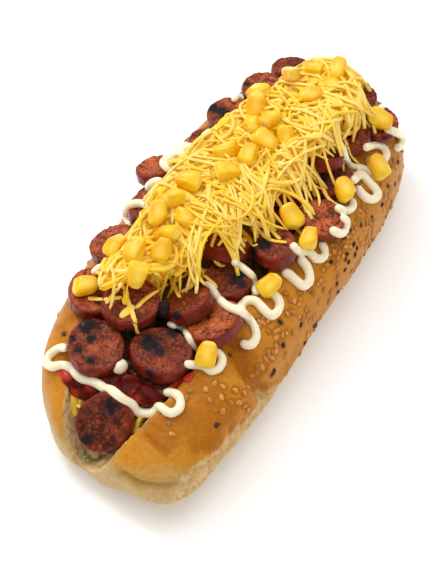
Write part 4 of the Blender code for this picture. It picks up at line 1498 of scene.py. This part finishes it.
class ShredHeap:
    """The grated cheese as it is laid, shred by shred, on its core and on the food beside it."""

    def __init__(self, look):
        self.look = look
        self.draw = np.random.default_rng(SHRED_SEED)
        self.below = surface_of(["bread", "relish_bed", "cheese_core"] + GRILLED)
        self.heights = HeightMap(self.below, *CAD_BOX)
        self.roof = HeightMap(surface_of(["cheese_heap"]), *CAD_BOX)
        self.low, self.high = (np.array(corner)[:2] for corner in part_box("cheese_heap"))
        self.shreds = Parts()

    def hang(self, count, normals, middles, chance):
        """Lays shreds on the core's own faces, most where `chance` is high. They are short and point all
        ways near the front, and run more downhill elsewhere."""
        look, draw = self.look, self.draw
        for index in draw.choice(len(chance), size=count, p=chance / chance.sum()):
            normal = Vector(normals[index])
            downhill = Vector((0, 0, -1)) - Vector((0, 0, -1)).dot(normal) * normal
            at_front = middles[index][1] < -26 * MM
            heading = Quaternion(normal, draw.normal(0, 2.4 if at_front else 1.6)) @ downhill.normalized()
            length = draw.uniform(6, 11 if at_front else 22) * MM
            crawl = crawled(self.below, middles[index], heading, length, draw.normal(0, 1.0))
            if crawl is None:
                continue
            path = crawl[0] + crawl[1] * draw.uniform(0.4, 1.8) * MM
            straight = np.linspace(path[0], path[-1], len(path))
            path += (straight - path) * draw.uniform(0.2, 0.9 if at_front else 0.5)
            width = look.width * draw.uniform(0.65, 1.3)
            thickness = look.thickness * draw.uniform(0.75, 1.25)
            points, faces = shred_body(path, width, thickness, draw, crawl[1])
            self.shreds.add(points, faces, 0.15 + 0.6 * draw.beta(1.5, 2.2))
            self.heights.stamp(path, width / 2, thickness * 0.25)

    def settle(self, plan, width, paleness, stiffness, steepest, lift):
        """Lays a shred, unless it would be stretched more than `steepest` times over a steep place. Its
        last end stands up by `lift`. Says whether it was laid."""
        thickness = self.look.thickness * self.draw.uniform(0.75, 1.25)
        path = laid(plan, self.heights, thickness, stiffness)
        path[:, 2] += lift * np.linspace(0, 1, len(path)) ** 2
        stretched = np.linalg.norm(np.diff(path, axis=0), axis=1).sum()
        if stretched > steepest * np.linalg.norm(np.diff(plan, axis=0), axis=1).sum():
            return False
        points, faces = shred_body(path, width, thickness, self.draw)
        tips = np.repeat(np.abs(np.linspace(-1, 1, len(path))) ** 6, len(SHRED_CORNERS))
        self.shreds.add(points, faces, np.clip(paleness + 0.35 * tips, 0, 1))
        self.heights.stamp(path, width / 2, thickness * 0.25)
        return True

    def lay_on_top(self):
        """Tries one shred over the heap, where the heap isn't full yet."""
        look, draw = self.look, self.draw
        middle = draw.uniform(self.low, self.high)
        heading = draw.uniform(0, math.tau)
        length = draw.uniform(12, 34) * MM
        bend = draw.normal(0, 1.1)
        plan = arc(middle, heading, length, bend, draw.normal(0, 0.6))
        plan += middle - plan.mean(axis=0)
        covered = self.roof.at(plan)
        if covered.min() <= 0 or np.mean(self.heights.at(plan) - covered) > 0.5 * MM:
            return False
        lift = max(draw.normal(-0.6, 1.6), 0) * MM
        paleness = 0.15 + 0.85 * draw.beta(1.2, 2.6)
        width = look.width * draw.uniform(0.65, 1.35)
        return self.settle(plan, width, paleness, stiffness=22, steepest=1.18, lift=lift)

    def lay_over_edge(self):
        """Tries one shred that starts on the heap and hangs over its edge, furthest on the right."""
        look, draw = self.look, self.draw
        start = draw.uniform(self.low, self.high)
        heading = draw.uniform(0, math.tau)
        at_front = start[1] < -20 * MM
        longest = 14 if at_front else 28
        plan = arc(start, heading, draw.uniform(10, longest) * MM, draw.normal(0, 0.8), draw.normal(0, 0.6))
        covered = self.roof.at(plan) > 0
        most = 0.62 if plan[-1, 0] > plan[0, 0] and not at_front else 0.35
        if not covered[:4].all() or not 0.20 < 1 - covered.mean() < most:
            return False
        lift = max(draw.normal(0, 0.8), 0) * MM
        paleness = 0.15 + 0.85 * draw.beta(2.0, 2.0)
        width = look.width * draw.uniform(0.6, 1.2)
        return self.settle(plan, width, paleness, stiffness=50, steepest=1.4, lift=lift)

    def lay_marked(self):
        """Lays the shreds and the strips that are marked in the photograph."""
        thickness = self.look.thickness
        surface = surface_of(["bread", "relish_bed", "cheese_heap"] + GRILLED)
        for pixels, width, paleness in MARKED_SHREDS:
            path, _ = draped(surface, pixels, thickness, "a marked shred")
            path = path[np.linspace(0, len(path) - 1, SHRED_RINGS).astype(int)]
            self.shreds.add(*shred_body(path, width * MM, thickness, self.draw), paleness)
        for pixels, width in FRONT_STRIPS:
            line, outward = cast_line(surface, pixels, "a front strip")
            picked = np.linspace(0, len(line) - 1, SHRED_RINGS).astype(int)
            path = evened(line[picked] + outward[picked] * 0.9 * MM, 6)
            self.shreds.add(*shred_body(path, width * MM, thickness, self.draw), 0.45)


def repeated(lay, wanted, tries_for_each):
    """Lays shreds until as many as wanted lie, or the tries run out."""
    count = 0
    for _ in range(wanted * tries_for_each):
        if count >= wanted:
            break
        count += lay()


def lay_shreds(look):
    """Lays the shreds one by one: down the flanks, over the heap, in the fringe that hangs over its edge,
    those marked in the photograph, and last some more on the left flank."""
    heap = ShredHeap(look)
    normals, areas, middles = face_facts(*mesh_arrays(bpy.data.objects["cheese_core"]))
    chance = areas * eased(normals[:, 2], 0.95, 0.6) * eased(normals[:, 2], -0.8, -0.4)
    chance *= 1 + 0.5 * eased(middles[:, 1], -38 * MM, -50 * MM)
    heap.hang(look.flank, normals, middles, chance)
    repeated(heap.lay_on_top, look.fill, tries_for_each=30)
    repeated(heap.lay_over_edge, look.edge, tries_for_each=60)
    heap.lay_marked()

    # The left flank is the steeper one, so few of the shreds laid from above reach it.
    steep_left = eased(-normals[:, 0], 0.3, 0.8) * eased(middles[:, 1], -26 * MM, -14 * MM)
    heap.hang(look.left_flank, normals, middles, chance * steep_left)
    return heap.shreds.mesh("cheese_shreds", "pale")


class CHORIPAN_OT_cheese(bpy.types.Operator):
    """Make the heap of grated cheese: a smaller core and the shreds laid on it"""

    bl_idname = "object.choripan_cheese"
    bl_label = "Grated cheese"

    def execute(self, context):
        look = context.scene.choripan_cheese
        material = cheese_finish(look)
        add_piece("cheese_core", shape_core(look), material, ["cheese_heap"])
        add_piece("cheese_shreds", lay_shreds(look), material)
        return {"FINISHED"}


# ---------------------------------------------------------------- sauces


# How often a line is evened out as it sags, and how far it may stand off what lies under it.
SAG_ROUNDS = 16
DEEPEST_BRIDGE = 3.5 * MM

# How high a drop of ketchup stands, in its radius.
KETCHUP_RISE = 0.42

# What the mayonnaise's colour is multiplied by in its yellower patches.
MAYONNAISE_SHADE = (0.95, 0.92, 0.84)


def draped(tree, pixels, radius, what):
    """A squeezed line of sauce: it follows what it lies on, sags over edges, and clings to the surface."""
    dense = curve_through(pixels, 1.2)
    hits = [cast(tree, pixel) for pixel in dense]
    kept = [(pixel, hit) for pixel, hit in zip(dense, hits) if hit]
    if len(kept) < 3:
        raise RuntimeError(f"{what} at pixel {pixels[0]} misses the food")
    eye = np.array(VIEW.eye)
    rays = np.array([VIEW.ray(pixel) for pixel, _ in kept])
    far = np.array([np.linalg.norm(hit[0] - eye) for _, hit in kept])
    normals = np.array([hit[1] for _, hit in kept])
    near = far.copy()
    for _ in range(SAG_ROUNDS):
        near = np.maximum(np.minimum(far, evened(near, 1)), far - DEEPEST_BRIDGE)
    normals = evened(normals, SAG_ROUNDS)
    normals /= np.linalg.norm(normals, axis=1, keepdims=True)
    path = eye + rays * near[:, None] + normals * radius * 0.55
    return evened(path, 3), normals


def mayonnaise_finish(look):
    # Painted glow: the mayonnaise gives off a little light of its own colour, which lightens its shade.
    finish = Finish("Mayonnaise", Roughness=0.30, Coat_Weight=0.15, Coat_Roughness=0.15,
                    Subsurface_Weight=0.35, Subsurface_Scale=0.003, Subsurface_Radius=(1.0, 0.75, 0.45),
                    Emission_Color=opaque(look.mayonnaise), Emission_Strength=0.03)
    yellower = tinted(look.mayonnaise, MAYONNAISE_SHADE)
    finish.feed("Base Color", finish.mottle(look.mayonnaise, yellower, 3.5 * MM, edge=0.2)["Color"])
    finish.bump(2.5 * MM, 0.8 * MM, 0.3, 0.10 * MM, 0.4)
    return finish.material


def ketchup_finish(look):
    finish = Finish("Ketchup", Roughness=0.24, Coat_Weight=0.05, Coat_Roughness=0.08,
                    Specular_IOR_Level=0.12, Subsurface_Weight=0.15, Subsurface_Scale=0.002,
                    Subsurface_Radius=(1.0, 0.15, 0.05))
    base = finish.mottle(look.ketchup, tinted(look.ketchup, 0.35), 3.0 * MM, edge=0.2)["Color"]
    colour = mixed(finish.tree, read_mask(finish.tree, "thin"), base, look.smear)
    finish.feed("Base Color", colour)
    finish.bump(1.8 * MM, 0.6 * MM, 0.3, 0.15 * MM, 0.5)
    return finish.material


class CHORIPAN_OT_sauces(bpy.types.Operator):
    """Squeeze on the ketchup and the zigzags of mayonnaise"""

    bl_idname = "object.choripan_sauces"
    bl_label = "Mayonnaise and ketchup"

    def execute(self, context):
        look = context.scene.choripan_sauce
        food = ["bread", "relish_bed"] + GRILLED
        ground = surface_of(food)
        pool = Parts()
        smears = []
        for x, y, radius in KETCHUP_SPOTS:
            hit = cast(ground, (x, y))
            if hit:
                pool.add(*blob(hit[0], hit[1], radius * MM, KETCHUP_RISE * radius * MM))
                if radius < THIN_KETCHUP:
                    smears.append(hit[0])
        skin = Skin(remeshed("ketchup", np.vstack(pool.points), pool.faces, look.skin))
        skin.relax(12)
        skin.push(0.35 * MM * lumps(skin.points, 4 * MM, 61) + 0.12 * MM * lumps(skin.points, 1.6 * MM, 60))
        away = np.min([np.linalg.norm(skin.points - smear, axis=1) for smear in smears], axis=0)
        uneven = 0.6 * eased(lumps(skin.points, 5 * MM, 62), 0.1, 0.7)
        skin.mask("thin", np.maximum(uneven, eased(away, 4.5 * MM, 2 * MM)))
        add_piece("ketchup_pool", skin.finished(), ketchup_finish(look))

        ground = surface_of(food + ["ketchup_pool"])
        lines = Parts()
        for pixels, radius in MAYONNAISE_LINES:
            radius *= look.squeeze * MM
            path, ups = draped(ground, pixels, radius, "a line of mayonnaise")
            lines.add(*rounded_tube(path, radius, ups))
        skin = Skin(remeshed("mayonnaise", np.vstack(lines.points), lines.faces, look.skin))
        skin.relax(3)
        skin.push(0.22 * MM * lumps(skin.points, 4 * MM, 63) + 0.06 * MM * lumps(skin.points, 1.5 * MM, 64))
        add_piece("mayonnaise_lines", skin.finished(), mayonnaise_finish(look))
        return {"FINISHED"}


# ---------------------------------------------------------------- seeds


def seed_finish(name, colour, gloss):
    finish = Finish(name, Roughness=gloss, Coat_Weight=0.03, Coat_Roughness=0.2, Specular_IOR_Level=0.2)
    tree = finish.tree
    shade = read_mask(tree, "shade")
    lighter = tuple(min(part * 1.45 + 0.01, 1) for part in colour)
    finish.feed("Base Color", mixed(tree, shade, tinted(colour, 0.68), lighter))
    finish.bump(0.9 * MM, 0.3 * MM, 0.4, 0.05 * MM, 0.5)
    return finish.material


SEED_RINGS = 7
SEED_SIDES = 8


def seed_body(size, turn_to, place):
    """One sesame seed: a flat drop, pointed at one end, as points and faces."""
    points = []
    for latitude in np.linspace(0.03, 0.97, SEED_RINGS) * math.pi:
        along = -math.cos(latitude)
        reach = math.sin(latitude) * (1 - 0.28 * along)
        for side in range(SEED_SIDES):
            turn = side / SEED_SIDES * math.tau
            points.append((along * size[0] / 2, reach * math.cos(turn) * size[1] / 2,
                           reach * math.sin(turn) * size[2] / 2))
    return np.array(points) @ np.array(turn_to).T + place, tube_faces(SEED_RINGS, SEED_SIDES)


def shade_round_seeds(bread, places, reach):
    """Paints shade on the crust close round each seed, as a darker ring where it meets the crust."""
    tree = KDTree(len(places))
    for index, place in enumerate(places):
        tree.insert(place, index)
    tree.balance()
    points, _ = mesh_arrays(bread)
    away = np.array([tree.find(point)[2] for point in points])
    values = bread.data.attributes["bake_and_shade"].data
    bake_and_shade = np.empty(len(points), np.float32)
    values.foreach_get("value", bake_and_shade)
    values.foreach_set("value", bake_and_shade + 0.30 * eased(away, reach, 0.5 * reach).astype(np.float32))


class Sowing:
    """The sesame as it is sown on the crust, seed by seed."""

    def __init__(self, look):
        self.look = look
        self.draw = np.random.default_rng(SESAME_SEED)
        self.crust = surface_of(["bread"])
        self.bodies = {"pale": Parts(), "dark": Parts()}
        self.taken = []
        bread = bpy.data.objects["bread"]
        points, triangles = mesh_arrays(bread)
        self.normals, self.areas, self.middles = face_facts(points, triangles)
        crumb = np.empty(len(points), np.float32)
        bread.data.attributes["crumb"].data.foreach_get("value", crumb)
        self.is_crust = crumb[triangles].max(axis=1) < 0.2

    def sow(self, kind, place, normal):
        """Lays a seed, unless one lies too near. Towards the front they are larger and further apart."""
        look, draw = self.look, self.draw
        normal = Vector(normal)
        apart = (0.62 + 0.55 * float(eased(place[1], -35 * MM, -62 * MM))) * look.length
        if any(np.linalg.norm(place - other) < apart for other in self.taken):
            return
        turn = Matrix.Rotation(draw.uniform(0, math.tau), 3, "Z")
        tilt = Matrix.Rotation(draw.normal(0, 0.12), 3, "Y")
        turn_to = normal.to_track_quat("Z", "Y").to_matrix() @ turn @ tilt
        grade = draw.uniform(0.76, 1.0) * (1 + 0.24 * float(eased(place[1], 10 * MM, -60 * MM)))
        size = np.array([look.length, look.width, look.thickness]) * grade
        middle = np.array(place) + np.array(normal) * size[2] * 0.08
        self.bodies[kind].add(*seed_body(size, turn_to, middle), draw.uniform(0, 1))
        self.taken.append(np.array(place))

    def sow_marked(self):
        """Sows the seeds and the groups of seeds that are marked in the photograph."""
        for pixel in DARK_SEEDS:
            hit = cast(self.crust, pixel)
            if hit:
                self.sow("dark", *hit)
        for x, y, spread, count in SEED_GROUPS:
            for _ in range(count):
                pixel = (x + self.draw.normal(0, spread / 2), y + self.draw.normal(0, spread / 2))
                hit = cast(self.crust, pixel)
                if hit and self.is_crust[self.crust.find_nearest(Vector(hit[0]))[2]]:
                    self.sow("pale", *hit)

    def sow_rest(self):
        """Sows the rest in loose groups, thick towards the back and on the upper flanks. The dark seeds that
        the photograph shows are all marked, so the other dark ones lie where it doesn't look."""
        toppings = surface_of(GRILLED + ["cheese_core", "mayonnaise_lines"])
        front = eased(self.middles[:, 1], 80 * MM, -80 * MM)
        height = eased(self.middles[:, 2], 6 * MM, 14 * MM)
        groups = eased(lumps(self.middles, 11 * MM, 72), -0.15, 0.5)
        chance = self.areas * self.is_crust * height * (0.08 + groups) * (1.0 - front) ** 1.3
        chance /= chance.sum()
        for kind, wanted in (("pale", self.look.scattered), ("dark", self.look.dark)):
            for index in self.draw.choice(len(chance), size=wanted, p=chance):
                place = Vector(self.middles[index])
                toward = (VIEW.eye - place).normalized()
                seen = self.crust.ray_cast(place + toward * MM, toward)[0] is None
                if kind == "dark" and seen:
                    continue
                if toppings.find_nearest(place)[3] > 1.2 * MM:
                    self.sow(kind, self.middles[index], self.normals[index])


class CHORIPAN_OT_seeds(bpy.types.Operator):
    """Sow the pale and the dark sesame on the crust"""

    bl_idname = "object.choripan_seeds"
    bl_label = "Sesame"

    def execute(self, context):
        look = context.scene.choripan_seeds
        sowing = Sowing(look)
        sowing.sow_marked()
        sowing.sow_rest()
        # Painted shade on the crust round each seed.
        shade_round_seeds(bpy.data.objects["bread"], sowing.taken, 0.85 * look.length)
        for kind, colour, gloss in (("pale", look.pale_colour, 0.45), ("dark", look.dark_colour, 0.35)):
            material = seed_finish(kind.capitalize() + " sesame", colour, gloss)
            mesh = sowing.bodies[kind].mesh("sesame_" + kind, "shade")
            add_piece("sesame_" + kind, mesh, material)
        return {"FINISHED"}


# ---------------------------------------------------------------- stage


FLOOR_REACH = 4.0
FLOOR_GAP = 0.05 * MM

# Where each light hangs, in metres to the left of the camera, away from it and up, and its width.
OVERHEAD_LIGHT = ((0.10, 0.30, 1.20), 1.7)
KEY_LIGHT = ((0.50, 0.45, 0.85), 0.35)


def area_light(name, place, size, power):
    """A soft square light that shines on the roll."""
    left, away, up = place
    place = -left * VIEW.right + away * Vector((-math.sin(VIEW_TURN), math.cos(VIEW_TURN), 0))
    place.z += up
    light = bpy.data.lights.new(name, "AREA")
    light.size = size
    light.energy = power
    lamp = bpy.data.objects.new(name, light)
    lamp.location = place
    lamp.rotation_euler = (-place).to_track_quat("-Z", "Y").to_euler()
    bpy.context.scene.collection.objects.link(lamp)


class CHORIPAN_OT_stage(bpy.types.Operator):
    """Set the pale floor, the soft lights and the photograph's camera"""

    bl_idname = "object.choripan_stage"
    bl_label = "Stage"

    def execute(self, context):
        look = context.scene.choripan_stage
        scene = context.scene
        mesh = bpy.data.meshes.new("floor")
        ways = ((-1, -1), (1, -1), (1, 1), (-1, 1))
        mesh.from_pydata([(x * FLOOR_REACH, y * FLOOR_REACH, 0) for x, y in ways], [], [(0, 1, 2, 3)])
        finish = Finish("Floor", Roughness=0.6, Specular_IOR_Level=0.2, Emission_Color=opaque(look.floor),
                        Emission_Strength=look.glow)
        finish.feed("Base Color", finish.mottle(look.floor, tinted(look.floor, 0.995), 0.2)["Color"])
        mesh.materials.append(finish.material)
        floor = bpy.data.objects.new("floor", mesh)
        floor.location.z = CAD_BOX[0][2] - FLOOR_GAP
        scene.collection.objects.link(floor)

        area_light("overhead", *OVERHEAD_LIGHT, look.overhead)
        area_light("key", *KEY_LIGHT, look.key)

        world = bpy.data.worlds.new("studio")
        world.use_nodes = True
        tree = world.node_tree
        glossy = add_node(tree, "LightPath").outputs["Is Glossy Ray"]
        background = tree.nodes["Background"]
        background.inputs["Color"].default_value = (1.0, 1.0, 1.0, 1.0)
        dimmed = calculated(tree, "MULTIPLY_ADD", glossy, look.mirrored - look.sky, look.sky)
        tree.links.new(dimmed, background.inputs["Strength"])
        scene.world = world
        scene.view_settings.view_transform = "Standard"

        camera = bpy.data.cameras.new("photo_camera")
        camera.sensor_fit = "VERTICAL"
        camera.sensor_height = SENSOR_HEIGHT
        camera.lens = SENSOR_HEIGHT * VIEW_DISTANCE * PIXELS_PER_METRE / PHOTO_SIZE[1]
        camera.clip_start = 0.05
        eye = bpy.data.objects.new("photo_camera", camera)
        eye.matrix_world = VIEW.matrix()
        scene.collection.objects.link(eye)
        scene.camera = eye
        return {"FINISHED"}


# ---------------------------------------------------------------- add-on

SETTINGS = {
    "choripan_stage": StageSettings,
    "choripan_bread": BreadSettings,
    "choripan_sauce": SauceSettings,
    "choripan_sausage": SausageSettings,
    "choripan_corn": CornSettings,
    "choripan_cheese": CheeseSettings,
    "choripan_seeds": SeedSettings,
}
OPERATORS = (
    CHORIPAN_OT_stage,
    CHORIPAN_OT_bread,
    CHORIPAN_OT_relish,
    CHORIPAN_OT_sausage,
    CHORIPAN_OT_corn,
    CHORIPAN_OT_cheese,
    CHORIPAN_OT_sauces,
    CHORIPAN_OT_seeds,
)


class CHORIPAN_PT_sidebar(bpy.types.Panel):
    """Lists the choripan's steps and settings"""

    bl_idname = "CHORIPAN_PT_sidebar"
    bl_label = "Choripan"
    bl_space_type = "VIEW_3D"
    bl_region_type = "UI"
    bl_category = "Choripan"

    def draw(self, context):
        for operator in OPERATORS:
            self.layout.operator(operator.bl_idname)
        for attribute, group in SETTINGS.items():
            box = self.layout.box()
            box.label(text=group.__doc__)
            for name in group.__annotations__:
                box.prop(getattr(context.scene, attribute), name)


def register():
    for attribute, group in SETTINGS.items():
        bpy.utils.register_class(group)
        setattr(bpy.types.Scene, attribute, PointerProperty(type=group))
    for cls in (*OPERATORS, CHORIPAN_PT_sidebar):
        bpy.utils.register_class(cls)


def unregister():
    for cls in (CHORIPAN_PT_sidebar, *reversed(OPERATORS)):
        bpy.utils.unregister_class(cls)
    for attribute, group in reversed(SETTINGS.items()):
        delattr(bpy.types.Scene, attribute)
        bpy.utils.unregister_class(group)


def main():
    """Makes every piece in order."""
    register()
    for operator in OPERATORS:
        family, name = operator.bl_idname.split(".")
        getattr(getattr(bpy.ops, family), name)()


if __name__ == "__main__":
    main()
